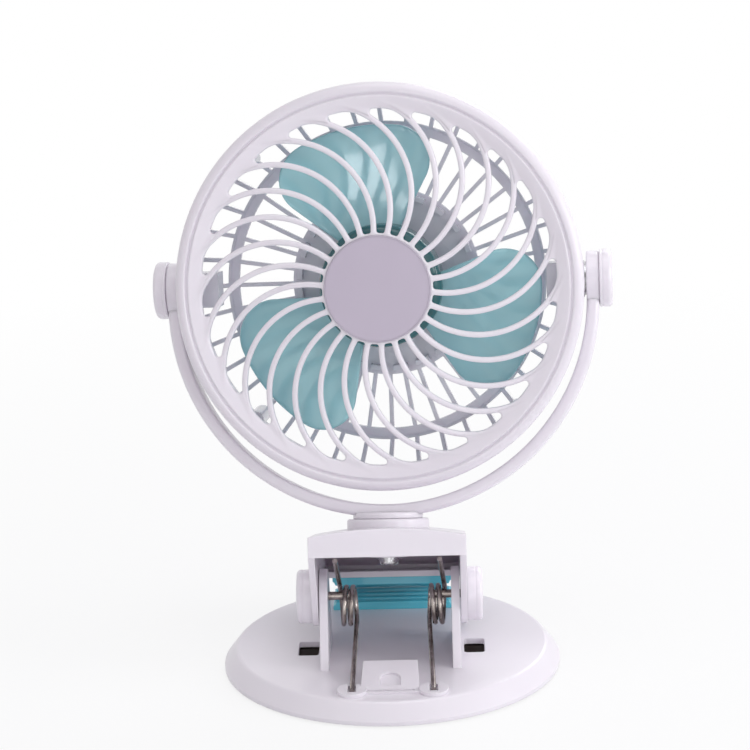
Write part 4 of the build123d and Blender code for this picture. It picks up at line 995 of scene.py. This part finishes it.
        low_root, low_tip = self._meet(0, self.join_inner), self._meet(0, self.join_outer)
        high_root, high_tip = turned_points(low_root, pitch), turned_points(low_tip, pitch)
        more = 2 * self.corner
        shares = np.concatenate((
            np.linspace(0, self.corner_shares[0], self.corner, endpoint=False),
            np.linspace(*self.corner_shares, self.along, endpoint=False),
            np.linspace(self.corner_shares[1], 1, self.corner + 1),
        ))
        shared = np.concatenate((
            arc_at(centre, low_root, low_tip, shares[:-1]),
            arc_between(origin, low_tip, high_tip, self.across + more),
            arc_at(next_centre, high_tip, high_root, 1 - shares[:0:-1]),
            arc_between(origin, high_root, low_root, self.root + more),
        ))
        return outline, shared

    def _sector(self) -> Array:
        """The web round one opening, front, rounded edge, wall, edge and back.

        Each row is the outline moved out by d along its normal and down by a depth: over a
        rounded edge of radius e, d = e (1 - sin a) and the depth is e (1 - cos a).

        Returns:
            A grid of one row for each step, with as many columns as the outline has points.
        """
        outline, shared = self._loops()
        tangent = np.roll(outline, -1, 0) - np.roll(outline, 1, 0)
        tangent /= np.linalg.norm(tangent, axis=1, keepdims=True)
        outward = np.stack((tangent[:, 1], -tangent[:, 0]), -1)
        front = np.linspace(0, np.pi / 2, self.front_rows)
        back = np.linspace(0, np.pi / 2, self.back_rows)
        away = np.concatenate((
            self.front_edge * (1 - np.sin(front)), self.back_edge * (1 - np.cos(back)),
        ))
        depth = np.concatenate((
            self.front_edge * (1 - np.cos(front)),
            self.thickness - self.back_edge * (1 - np.sin(back)),
        ))
        flat = outline[None] + outward[None] * away[:, None, None]
        flat = np.concatenate((shared[None], flat, shared[None]))
        depth = np.concatenate(((0.0,), depth, (self.thickness,)))
        height = self.height(np.linalg.norm(flat, axis=-1)) - depth[:, None]
        return np.concatenate((flat, height[..., None]), axis=-1)

    def _rim_profile(self) -> Array:
        """The rim in section.

        Returns:
            Points of radius and height, from the annulus's front round to its back.
        """
        crease, half = self.crease_radius, self.crease_half
        wall, back = self.ring_radius - self.ring_wall, self.face - self.thickness
        front_inner = float(self.height(np.array(self.join_outer)))
        return rounded((
            (self.join_outer, front_inner, 0),
            (crease - half, self.face, 0.35),
            (crease, self.face - self.crease_depth, 0.45),
            (crease + half, self.face, 0.35),
            (self.ring_radius, self.face, self.lip - half),
            (self.ring_radius, self.ring_back, 0.35),
            (wall, self.ring_back, 0.2),
            (wall, self.face - self.lip, 0.8),
            (crease - half, back, 0.5),
            (self.join_outer, front_inner - self.thickness, 0),
        ), steps=9)

    def _seat_profile(self) -> Array:
        """The closed middle in section, with the seat of the round cap.

        Returns:
            Points of radius and height, from the ribs' front to their back.
        """
        top = float(self.height(np.array(self.join_inner)))
        floor = self.face + self.dome - self.seat_depth
        return np.array((
            (self.join_inner, top), (self.join_inner - 0.1, floor), (0.0, floor),
            (0.0, self.face + self.dome - self.thickness), (self.join_inner, top - self.thickness),
        ))

    def build(self, paints: Paints) -> bpy.types.Object:
        """Builds the grille as one closed mesh.

        Args:
            paints: the materials by name.

        Returns:
            The piece.
        """
        shell = Shell("grille_front", HEAD.turned("Z", self.first_rib))
        pitches = np.arange(self.ribs) * 360 / self.ribs
        shell.grids(turned_points(self._sector(), pitches), wrap_columns=True)
        tip, root = self._meet(0, self.join_outer), self._meet(0, self.join_inner)
        more = 2 * self.corner
        rim_start, seat_start = np.arctan2(tip[1], tip[0]), np.arctan2(root[1], root[0])
        shell.turn(self._rim_profile(), self.ribs * (self.across + more), rim_start)
        shell.turn(self._seat_profile(), self.ribs * (self.root + more), seat_start)
        return settle(
            shell.build(paints["white_plastic"]), "head", "white_plastic", "front_grille"
        )


@dataclass
class CentreCap:
    """The bare round cap in the middle of the grille, with a fine raised bead at its edge."""

    radius: float = 18.86
    back: float = 21.7
    top: float = 23.2
    crown: float = 0.12
    bead: float = 0.55
    sunk: float = 0.1
    groove: float = 0.22

    def build(self, paints: Paints) -> bpy.types.Object:
        """Builds the cap as a turned surface.

        The face rises to its middle by crown (1 - s^2), with s the share of its radius.

        Args:
            paints: the materials by name.

        Returns:
            The piece.
        """
        inside = self.radius - self.bead
        across = np.linspace(0, 1, 9)
        rise = self.crown * (1 - across**2)
        face = np.stack((inside * across, self.top - self.sunk + rise), -1)
        rim = rounded((
            (inside, self.top - self.sunk, 0), (inside + 0.08, self.top - self.groove, 0.03),
            (inside + 0.18, self.top, 0.08), (self.radius, self.top - 0.05, 0.3),
            (self.radius, self.back, 0.1), (0.0, self.back, 0),
        ), steps=5)
        shell = Shell("grille_cap", HEAD).turn(np.concatenate((face, rim[1:])), count=160)
        # the cap's darker finish is painted shade on what is the same white plastic
        return settle(shell.build(paints["cap_plastic"]), "head", "cap_plastic", "centre_cap")


@dataclass
class Impeller:
    """Three twisted petal blades on a deep round hub."""

    hub_radius: float = 22.0
    hub_front: float = 12.0
    hub_back: float = -5.0
    hub_wall: float = 1.8
    hub_round: float = 3.0
    boss_radius: float = 4.0
    boss_back: float = -4.4
    bore: float = 1.02
    shaft_front: float = 8.1
    blades: int = 3
    phase: float = 101.5
    root: float = 21.1
    tip: float = 57.5
    root_span: float = 29.5
    tip_span: float = 36.0
    corner: float = 13.0
    thickness: float = 1.5
    edge: float = 1.0
    plane: float = 2.0
    camber: float = 1.1
    pitch_at: tuple[float, float, float] = (16.6, 39.3, 59.0)
    pitches: tuple[float, float, float] = (33.0, 24.0, 16.0)
    edge_rows: tuple[float, ...] = (0.0, 0.04, 0.15, 0.35, 0.65, 1.0)
    face_rows: tuple[float, ...] = (0.1, 0.25, 0.45, 0.7, 1.0)
    slope_step: float = 0.05
    spine_shift: float = 1.0
    spine_inset: float = 4.0

    def _half_outline(self) -> Array:
        """One half of the petal, from the middle of the root to the middle of the tip.

        The corner's arc touches the straight side and the tip's circle, so its centre is a
        corner radius from the side and as far inside the tip's circle.

        Returns:
            Its points, without the last.
        """
        start, end = polar(self.root, self.root_span), polar(self.tip, self.tip_span)
        ahead = (end - start) / np.linalg.norm(end - start)
        inward = np.array((ahead[1], -ahead[0]))
        offset = start + inward * self.corner
        reach = self.tip - self.corner
        along = -(offset @ ahead) + np.sqrt((offset @ ahead) ** 2 - offset @ offset + reach**2)
        centre = offset + ahead * along
        on_side = start + ahead * along
        on_tip = centre / np.linalg.norm(centre) * self.tip
        origin = np.zeros(2)
        straight = start + np.linspace(0, 1, 16, endpoint=False)[:, None] * (on_side - start)
        return np.concatenate((
            arc_between(origin, np.array((self.root, 0.0)), start, count=6), straight,
            arc_between(centre, on_side, on_tip, count=18),
            arc_between(origin, on_tip, np.array((self.tip, 0.0)), count=12),
        ))

    def _sheet(self, flat: Array) -> Array:
        """Height of the blade's middle sheet over its plan.

        The twist falls with the radius along a parabola through three pitches, and the sheet
        is hollow by the camber, less towards the sides.

        Args:
            flat: points of the plan.

        Returns:
            One height for each point.
        """
        bend = np.polyfit(self.pitch_at, self.pitches, 2)
        pitch = np.radians(np.polyval(bend, flat[..., 0]))
        side = flat[..., 1] / (flat[..., 0] * np.tan(np.radians(self.tip_span)))
        return self.plane + flat[..., 1] * np.tan(pitch) - self.camber * (1 - side**2)

    def _blade(self) -> Array:
        """Closed grid of one blade: front rows from its spine to its edge, and back again.

        Thickness over the edge is that of an ellipse: half of it times the root of
        1 - (1 - d / e)^2, at a distance d inside the edge.

        Returns:
            The grid, with the outline along its columns.
        """
        half = self._half_outline()
        mirrored = np.concatenate(([[self.tip, 0.0]], (half * (1, -1))[:0:-1]))
        outline = np.concatenate((half, mirrored))
        spine_x = np.clip(
            outline[:, 0] + self.spine_shift, self.root + self.spine_inset, self.tip - self.corner
        )
        spine = np.stack((spine_x, 0 * spine_x), -1)
        inward = spine - outline
        length = np.linalg.norm(inward, axis=1)
        near = np.array(self.edge_rows) * self.edge
        rest = np.array(self.face_rows)[:, None] * (1 - self.edge / length[None])
        share = np.concatenate((near[:, None] / length[None], self.edge / length[None] + rest))
        flat = outline[None] + inward[None] * share[..., None]
        inside = np.minimum(share * length / self.edge, 1.0)
        thick = self.thickness / 2 * np.sqrt(1 - (1 - inside) ** 2)
        step = self.slope_step
        height = self._sheet(flat)
        slope_x = (self._sheet(flat + (step, 0)) - height) / step
        slope_y = (self._sheet(flat + (0, step)) - height) / step
        normal = np.stack((-slope_x, -slope_y, np.ones_like(height)), -1)
        normal /= np.linalg.norm(normal, axis=-1, keepdims=True)
        middle = np.concatenate((flat, height[..., None]), axis=-1)
        front = middle + normal * thick[..., None]
        back = middle - normal * thick[..., None]
        return np.concatenate((front[::-1], back[1:]))

    def _hub_profile(self) -> Array:
        """The hub in section.

        Returns:
            Points of radius and height, from the middle of its front round to its bore.
        """
        inside = self.hub_radius - self.hub_wall
        under = self.hub_front - self.hub_wall
        return rounded((
            (0.0, self.hub_front, 0), (self.hub_radius, self.hub_front, self.hub_round),
            (self.hub_radius, self.hub_back, 0.4), (inside, self.hub_back, 0.3),
            (inside, under, 1.2), (self.boss_radius, under, 0.8),
            (self.boss_radius, self.boss_back, 0.2), (self.bore, self.boss_back, 0.1),
            (self.bore, self.shaft_front, 0.05), (0.0, self.shaft_front, 0),
        ), steps=7)

    def build(self, paints: Paints) -> list[bpy.types.Object]:
        """Builds the impeller.

        Args:
            paints: the materials by name.

        Returns:
            The hub and the blades, two pieces for one solid.
        """
        hub = Shell("impeller_hub", HEAD).turn(self._hub_profile(), count=128)
        blades = Shell("impeller_blades", HEAD)
        turns = self.phase + np.arange(self.blades) * 360 / self.blades
        blades.grids(turned_points(self._blade(), turns), wrap_columns=True)
        return [
            # the hub's dark teal is partly a deeper opaque teal and partly painted shade
            settle(hub.build(paints["teal_hub_deep_and_painted_shade"]), "impeller", "teal_blades"),
            settle(blades.build(paints["teal_blades"]), "impeller", "teal_blades", "impeller"),
        ]


# ---------------------------------------------------------------- yoke and caps


@dataclass
class Yoke:
    """The U-shaped band with its eyes, neck and stem."""

    inner: float = 73.1
    band: float = 4.7
    depth: float = 12.0
    bottom: float = 3.4
    straight: float = 6.1
    eye_radius: float = 9.8
    eye_bore: float = 2.55
    edge: float = 1.5
    neck_radius: float = 12.5
    neck_start: float = 3.1
    neck_top: float = 5.2
    stem_radius: float = 6.0
    stem_bottom: float = -7.2
    screw_bore: float = 1.82
    screw_end: float = -1.85
    crown: float = 0.35
    top_crown: float = 0.6
    bend_points: int = 145
    straight_points: int = 3

    def _band(self) -> Array:
        """Grid of the band: a rounded section carried along a U.

        The path is a half circle about the U's centre with a short straight at each end, and
        the section's first axis points away from that centre. The outer face is crowned a
        little, by the square of the distance from its middle.

        Returns:
            The grid, closed at both ends.
        """
        middle = self.inner + self.band / 2
        centre = self.bottom + self.inner + self.band
        angle = np.radians(np.linspace(180, 360, self.bend_points))
        spoke = np.stack((np.cos(angle), 0 * angle, np.sin(angle)), -1)
        path = spoke * middle + np.array((0, 0, centre))
        extra = self.straight_points
        rise = np.linspace(self.straight, 0, extra, endpoint=False)[:, None] * np.array((0, 0, 1))
        path = np.concatenate((path[:1] + rise, path, (path[-1:] + rise)[::-1]))
        spoke = np.concatenate(
            (np.repeat(spoke[:1], extra, 0), spoke, np.repeat(spoke[-1:], extra, 0))
        )
        half, side = self.band / 2, self.depth / 2
        outer, inner = self.edge, 0.8 * self.edge
        section = rounded((
            (half, -side, outer), (half, side, outer), (-half, side, inner), (-half, -side, inner),
        ), steps=7, closed=True)
        crown = self.crown * (section[:, 1] / side) ** 2 * (section[:, 0] > 0)
        section = section - np.stack((crown, 0 * crown), -1)
        across = np.array((0.0, 1.0, 0.0))
        grid = (
            path[:, None] + spoke[:, None] * section[None, :, :1] + across * section[None, :, 1:]
        )
        return with_ends(grid)

    def build(self, paints: Paints) -> bpy.types.Object:
        """Builds the yoke as one object of closed, overlapping shells.

        Args:
            paints: the materials by name.

        Returns:
            The piece.
        """
        shell = Shell("yoke_band", YOKE)
        shell.grid(self._band(), wrap_columns=True)
        height = self.bottom + self.inner + self.band + self.straight
        eye = rounded((
            (self.eye_bore, 0.0, 0.1), (self.eye_radius, 0.0, 0.5),
            (self.eye_radius, self.band, 0.9), (self.eye_bore, self.band, 0.1),
        ), steps=6, closed=True)
        ring = revolved(eye, whole_turn(count=96))
        for side in (-1, 1):
            shell.grid(laid(ring, side, self.inner, height), wrap_rows=True, wrap_columns=True)
        neck = rounded((
            (0.0, self.screw_end, 0), (self.screw_bore, self.screw_end, 0.05),
            (self.screw_bore, self.stem_bottom, 0.1), (self.stem_radius, self.stem_bottom, 0.3),
            (self.stem_radius, self.neck_start, 0.1), (self.neck_radius, self.neck_start, 0.25),
            (self.neck_radius, self.neck_top, 0.7), (0.0, self.neck_top + self.top_crown, 0),
        ), steps=6)
        piece = shell.turn(neck, count=96).build(paints["white_plastic"])
        return settle(piece, "yoke", "white_plastic", "yoke_bracket")


@dataclass
class RoundCap:
    """A turned cap over the end of a pivot or of a hinge pin."""

    name: str
    node: str
    body: str
    placing: Placing
    start: float
    side: int
    radius: float
    length: float
    recess_radius: float
    recess_depth: float
    groove: float
    edge: float = 1.7
    dish: float = 0.25
    draft: float = 0.02
    groove_half: float = 0.4
    groove_depth: float = 0.14
    shoulder: float = 0.62

    def build(self, paints: Paints) -> bpy.types.Object:
        """Builds the cap along X, outward from its start.

        Args:
            paints: the materials by name.

        Returns:
            The piece.
        """
        wall, half = self.radius - self.draft, self.groove_half
        outline = rounded((
            (0.0, self.recess_depth, 0), (self.recess_radius, self.recess_depth, 0.1),
            (self.recess_radius, 0.0, 0.1), (self.radius, 0.0, 0.3),
            (wall, self.groove - half, 0.08), (self.radius - self.groove_depth, self.groove, 0.12),
            (wall, self.groove + half, 0.08), (self.radius - 0.05, self.length, self.edge),
            (self.radius * self.shoulder, self.length - 0.02, 1.5),
            (0.0, self.length - self.dish, 0),
        ), steps=7)
        turned = revolved(outline, whole_turn(count=112))
        shell = Shell(self.name, self.placing)
        shell.grid(laid(turned, self.side, self.start), wrap_rows=True)
        return settle(shell.build(paints["white_plastic"]), self.body, "white_plastic", self.node)


# ---------------------------------------------------------------- clip


@dataclass
class GripPad:
    """A ridged rubber pad; its ridges run across the jaw."""

    name: str
    node: str
    body: str
    placing: Placing
    front: float
    length: float
    seat: float
    facing: int
    round_back: float = 0.0
    half: float = 22.3
    body_height: float = 1.8
    ridge: float = 1.2
    ridge_width: float = 2.4
    pitch: float = 4.6
    soft: float = 0.5
    margin: float = 1.0
    columns: int = 61
    rows: int = 241

    def _plan(self, u: Array, v: Array) -> tuple[Array, Array]:
        """Plan of the pad: x = half u, and y from the front to the straight or round back.

        Args:
            u: place across it, from -1 to 1.
            v: place along it, from 0 at the front to 1 at the back.

        Returns:
            The two coordinates.
        """
        x = self.half * u
        if self.round_back:
            back = np.sqrt(self.round_back**2 - x**2)
        else:
            back = self.front + self.length + 0 * x
        return x, self.front + v * (back - self.front)

    def build(self, paints: Paints) -> bpy.types.Object:
        """Builds the pad: ridged top, upright sides and flat seat.

        The top's height is the body's, plus a flat ridge with round shoulders in each pitch,
        less a quarter round of radius soft along the outline. Across a ridge the height is the
        root of 1 - |w|^6, with w running from -1 to 1.

        Args:
            paints: the materials by name.

        Returns:
            The piece.
        """
        u = np.sin(np.linspace(-np.pi / 2, np.pi / 2, self.columns))
        v = (1 - np.cos(np.linspace(0, np.pi, self.rows))) / 2
        u, v = np.meshgrid(u, v, indexing="ij")
        x, y = self._plan(u, v)
        run = y - self.front
        w = 2 * (run % self.pitch) / self.ridge_width - 1
        crest = np.where(run < self.ridge_width / 2, 1, np.sqrt(np.clip(1 - w**6, 0, 1)))
        back = self._plan(u, np.ones_like(v))[1]
        reach = self.round_back - np.hypot(x, y) if self.round_back else back - y
        inside = np.minimum(self.half - np.abs(x), reach) - self.margin
        crest = crest * np.clip(inside / self.soft + 1, 0, 1)
        near = np.minimum(self.half - np.abs(x), np.minimum(y - self.front, back - y))
        gone = 1 - np.clip(near / self.soft, 0, 1)
        drop = self.soft * (1 - np.sqrt(1 - gone**2))
        top = self.body_height + self.ridge * crest - drop
        upper = np.stack((x, y, self.seat + self.facing * top), -1)
        lower = np.stack((x, y, self.seat + 0 * top), -1)
        shell = Shell(self.name, self.placing)
        shell.grid(upper).grid(lower)

        def border(grid: Array) -> Array:
            """The points round a grid's edge, in order."""
            return np.concatenate((grid[0, :-1], grid[:-1, -1], grid[-1, :0:-1], grid[:0:-1, 0]))

        shell.grid(np.stack((border(lower), border(upper))), wrap_columns=True)
        return settle(shell.build(paints["teal_pad"]), self.body, "teal_pad", self.node)


@dataclass
class TorsionSpring:
    """A wire spring: a straight leg, two turns and a bit, and another straight leg."""

    name: str
    node: str
    middle_x: float
    side: int
    wire: float = 1.8
    radius: float = 6.6
    pitch: float = 2.45
    turns: int = 2
    centre: tuple[float, float] = (HINGE_Y, 25.8)
    foot: tuple[float, float] = (-46.0, 7.9)
    tip_s: float = -25.0
    tip_m: float = 13.3
    foot_lean: float = 1.2
    tip_lean: float = 1.0
    softened: int = 9
    coil_points: int = 190
    leg_points: int = 60
    sides: int = 16

    def _line(self) -> Array:
        """The wire's middle line.

        Each leg touches the coil: it leaves at the angle of its far end, plus or minus the
        angle whose cosine is the radius over the far end's distance. The coil is a helix. The
        legs also lean sideways, and a moving average of the sideways place rounds the change.

        Returns:
            Its points, from the leg on the base to the leg under the jaw.
        """
        lean, hinge = np.radians(JAW_LEAN), np.array((HINGE_Y, HINGE_Z))
        back = self.tip_s * np.array((np.cos(lean), -np.sin(lean)))
        tip = hinge + back + self.tip_m * np.array((np.sin(lean), np.cos(lean)))
        centre, foot = np.array(self.centre), np.array(self.foot)

        def leaves(end: Array, way: int) -> float:
            """Where a leg touches the coil.

            Args:
                end: the leg's far end.
                way: 1 or -1, for which of the two tangents.

            Returns:
                The angle about the coil's middle.
            """
            reach = end - centre
            return float(
                np.arctan2(reach[1], reach[0])
                + way * np.arccos(self.radius / np.linalg.norm(reach))
            )

        first, last = leaves(foot, 1), leaves(tip, -1)
        turn = 2 * np.pi * self.turns + (last - first) % (2 * np.pi)
        run = self.pitch * turn / (2 * np.pi)
        t = np.linspace(0, 1, self.coil_points)
        angle = first + turn * t
        coil = np.stack((
            self.middle_x + self.side * run * (t - 0.5),
            centre[0] + self.radius * np.cos(angle), centre[1] + self.radius * np.sin(angle),
        ), -1)
        low = np.array((coil[0, 0] + self.side * self.foot_lean, foot[0], foot[1]))
        top = np.array((coil[-1, 0] - self.tip_lean, tip[0], tip[1]))
        steps = np.linspace(0, 1, self.leg_points, endpoint=False)[:, None]
        line = np.concatenate((
            low + steps * (coil[0] - low), coil, (top + steps * (coil[-1] - top))[::-1],
        ))
        window = np.ones(self.softened) / self.softened
        edge = self.softened // 2
        line[edge:-edge, 0] = np.convolve(line[:, 0], window, "valid")
        return line

    def build(self, paints: Paints) -> bpy.types.Object:
        """Builds the wire as a tube between the base and the jaw.

        Each ring is a circle in the plane square to the wire, on two axes: X with its share
        along the wire taken out, and the product of the wire's direction and that axis.

        Args:
            paints: the materials by name.

        Returns:
            The piece.
        """
        line = self._line()
        ahead = np.gradient(line, axis=0)
        ahead /= np.linalg.norm(ahead, axis=1, keepdims=True)
        first = np.array((1.0, 0.0, 0.0)) - ahead * ahead[:, :1]
        first /= np.linalg.norm(first, axis=1, keepdims=True)
        second = np.cross(ahead, first)
        around = whole_turn(self.sides)
        ring = first[:, None] * np.cos(around)[None, :, None]
        ring = ring + second[:, None] * np.sin(around)[None, :, None]
        grid = line[:, None] + ring * self.wire / 2
        shell = Shell(self.name)
        shell.grid(with_ends(grid), wrap_columns=True)
        piece = shell.build(paints["spring_steel"])
        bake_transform(piece)
        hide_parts(self.node)
        LOG.info("%s bends between base and jaw", piece.name)
        return piece


# ---------------------------------------------------------------- studio


@dataclass(frozen=True)
class Lamp:
    """A square lamp: its place and side in metres, its power in watts, its linear colour."""

    name: str
    place: Triple
    side: float
    power: float
    colour: Triple = (1.0, 1.0, 1.0)

    def hang(self, aim: Triple) -> None:
        """Adds the lamp to the scene.

        Args:
            aim: the point that it is turned towards.
        """
        data = bpy.data.lights.new(self.name, "AREA")
        data.size, data.energy, data.color = self.side, self.power, self.colour
        made = linked(self.name, data)
        made.location = self.place
        way = Vector(aim) - Vector(self.place)
        made.rotation_euler = way.to_track_quat("-Z", "Y").to_euler()


LAMPS = (
    Lamp("key_lamp", (1.15, -0.3, 0.45), side=0.5, power=5.0),
    Lamp("fill_lamp", (-0.95, -0.65, 0.45), side=0.9, power=0.6, colour=(1.0, 0.93, 0.87)),
    Lamp("top_lamp", (0.1, -0.1, 1.2), side=0.8, power=3.6),
    Lamp("low_lamp", (0.0, -0.5, 0.08), side=0.15, power=0.12),
    Lamp("gloss_lamp", (0.72, -0.9, 0.43), side=0.3, power=1.4, colour=(0.94, 0.97, 1.0)),
    Lamp("front_lamp", (0.06, -1.2, 0.42), side=0.25, power=0.3),
    Lamp("back_lamp", (0.45, 0.9, 0.7), side=0.6, power=3.0, colour=(0.94, 0.97, 1.0)),
)


@dataclass
class Studio:
    """Floor, world, lamps and camera.

    The camera's target, its distance from it and its sensor are in millimetres, and the
    picture's width and the focal length in pixels. The floor's size, the reach of the shadow,
    the camera's clip_end and the point that the lamps aim at are in metres.
    """

    picture: float = 750.0
    sensor: float = 36.0
    focal: float = 2542.6
    azimuth: float = 1.5
    elevation: float = 15.7
    roll: float = -1.74
    distance: float = 900.0
    target: tuple[float, float, float] = (-3.2, 0.0, 108.7)
    floor_size: float = 12.0
    shadow_share: float = 0.8
    shadow_reach: tuple[float, float] = (0.16, 0.6)
    clip_end: float = 50.0
    aim: Triple = (0.0, 0.0, 0.11)
    floor_colour: Colour = tone(240, 240, 242)
    air_colour: Colour = (0.98, 0.97, 1.0, 1.0)
    air_strength: float = 0.5
    white: Colour = (1.0, 1.0, 1.0, 1.0)

    def _seen(self, tree: Tree) -> bpy.types.NodeSocket:
        """Tells rays that are seen from rays that only light.

        Args:
            tree: the tree that asks.

        Returns:
            A socket of 1 for rays from the camera, from gloss and through glass, else 0.
        """
        path = tree.add("LightPath").outputs
        some = tree.math("MAXIMUM", path["Is Camera Ray"], path["Is Glossy Ray"])
        return tree.math("MAXIMUM", some, path["Is Transmission Ray"])

    def floor(self) -> None:
        """A pale floor with the object's soft shadow, seen quite white further out."""
        half = self.floor_size / 2
        corners = ((-half, -half, 0), (half, -half, 0), (half, half, 0), (-half, half, 0))
        mesh = bpy.data.meshes.new("floor")
        mesh.from_pydata(corners, [], [(0, 1, 2, 3)])
        made = linked("floor", mesh)
        paint = bpy.data.materials.new("floor_white")
        paint.use_nodes = True
        tree = Tree(paint.node_tree)
        place = tree.add("TexCoord").outputs["Object"]
        away = tree.add("VectorMath", {0: place}, operation="LENGTH").outputs["Value"]
        white = tree.spread(away, self.shadow_share, 1.0, *self.shadow_reach)
        share = tree.math("MULTIPLY", self._seen(tree), white)
        matt = tree.add("BsdfDiffuse", {"Color": self.floor_colour}).outputs[0]
        glow = tree.add("Emission", {"Color": self.white, "Strength": 1.0}).outputs[0]
        mixed = tree.add("MixShader", {0: share, 1: matt, 2: glow}).outputs[0]
        tree.add("OutputMaterial", {"Surface": mixed})
        mesh.materials.append(paint)

    def world(self) -> None:
        """An even pale light, white where it is seen."""
        world = bpy.data.worlds.new("studio")
        bpy.context.scene.world = world
        world.use_nodes = True
        tree = Tree(world.node_tree)
        air = tree.add("Background", {"Color": self.air_colour, "Strength": self.air_strength})
        seen = tree.add("Background", {"Color": self.white, "Strength": 1.0})
        shaders = {0: self._seen(tree), 1: air.outputs[0], 2: seen.outputs[0]}
        mixed = tree.add("MixShader", shaders)
        tree.add("OutputWorld", {"Surface": mixed.outputs[0]})

    def camera(self) -> None:
        """The camera of the photograph: a long lens, a little above, with a small roll."""
        a, e, r = np.radians((self.azimuth, self.elevation, self.roll))
        back = np.array((np.sin(a) * np.cos(e), -np.cos(a) * np.cos(e), np.sin(e)))
        right = np.cross(-back, (0, 0, 1))
        right /= np.linalg.norm(right)
        up = np.cross(right, -back)
        axes = np.stack((
            np.cos(r) * right + np.sin(r) * up, np.cos(r) * up - np.sin(r) * right, back,
        ), -1)
        place = (np.array(self.target) + back * self.distance) * MM
        data = bpy.data.cameras.new("photo_camera")
        data.sensor_width = self.sensor
        data.lens = self.focal * self.sensor / self.picture
        data.clip_end = self.clip_end
        made = linked("photo_camera", data)
        made.matrix_world = Matrix.Translation(place) @ Matrix(axes.tolist()).to_4x4()
        bpy.context.scene.camera = made

    def build(self) -> None:
        """Sets the stage."""
        self.floor()
        self.world()
        for lamp in LAMPS:
            lamp.hang(self.aim)
        self.camera()
        bpy.context.scene.view_settings.view_transform = "Standard"


# ---------------------------------------------------------------- the whole fan


def main() -> None:
    """Builds every piece in order."""
    logging.basicConfig(level=logging.INFO, format="%(name)s: %(message)s")
    Studio().build()
    effects = Effects()
    paints = {finish.name: finish.material(effects) for finish in FINISHES}
    KeptSolids(paints).dress()
    FrontGrille().build(paints)
    CentreCap().build(paints)
    Impeller().build(paints)
    Yoke().build(paints)
    for word, side in (("left", -1), ("right", 1)):
        RoundCap(
            f"pivot_knob_{word}", f"pivot_cap_{word}", "yoke", HEAD, start=77.8, side=side,
            radius=10.4, length=4.6, recess_radius=4.8, recess_depth=2.1, groove=1.0,
        ).build(paints)
        RoundCap(
            f"hinge_knob_{word}", f"hinge_cap_{word}", "jaw", HINGE, start=27.6, side=side,
            radius=9.65, length=5.6, recess_radius=1.55, recess_depth=3.5, groove=3.2, edge=1.5,
        ).build(paints)
    GripPad(
        "pad_lower", "lower_pad", "base", ROW,
        front=32.0, length=23.2, seat=8.0, facing=1, round_back=55.2,
    ).build(paints)
    GripPad(
        "pad_upper", "upper_pad", "jaw", JAW, front=42.0, length=22.4, seat=4.799, facing=-1
    ).build(paints)
    TorsionSpring(
        "wire_spring_left", "spring_left", middle_x=-15.0, side=-1, tip_lean=0.5
    ).build(paints)
    TorsionSpring(
        "wire_spring_right", "spring_right", middle_x=16.8, side=1, tip_lean=1.5
    ).build(paints)


if __name__ == "__main__":
    main()
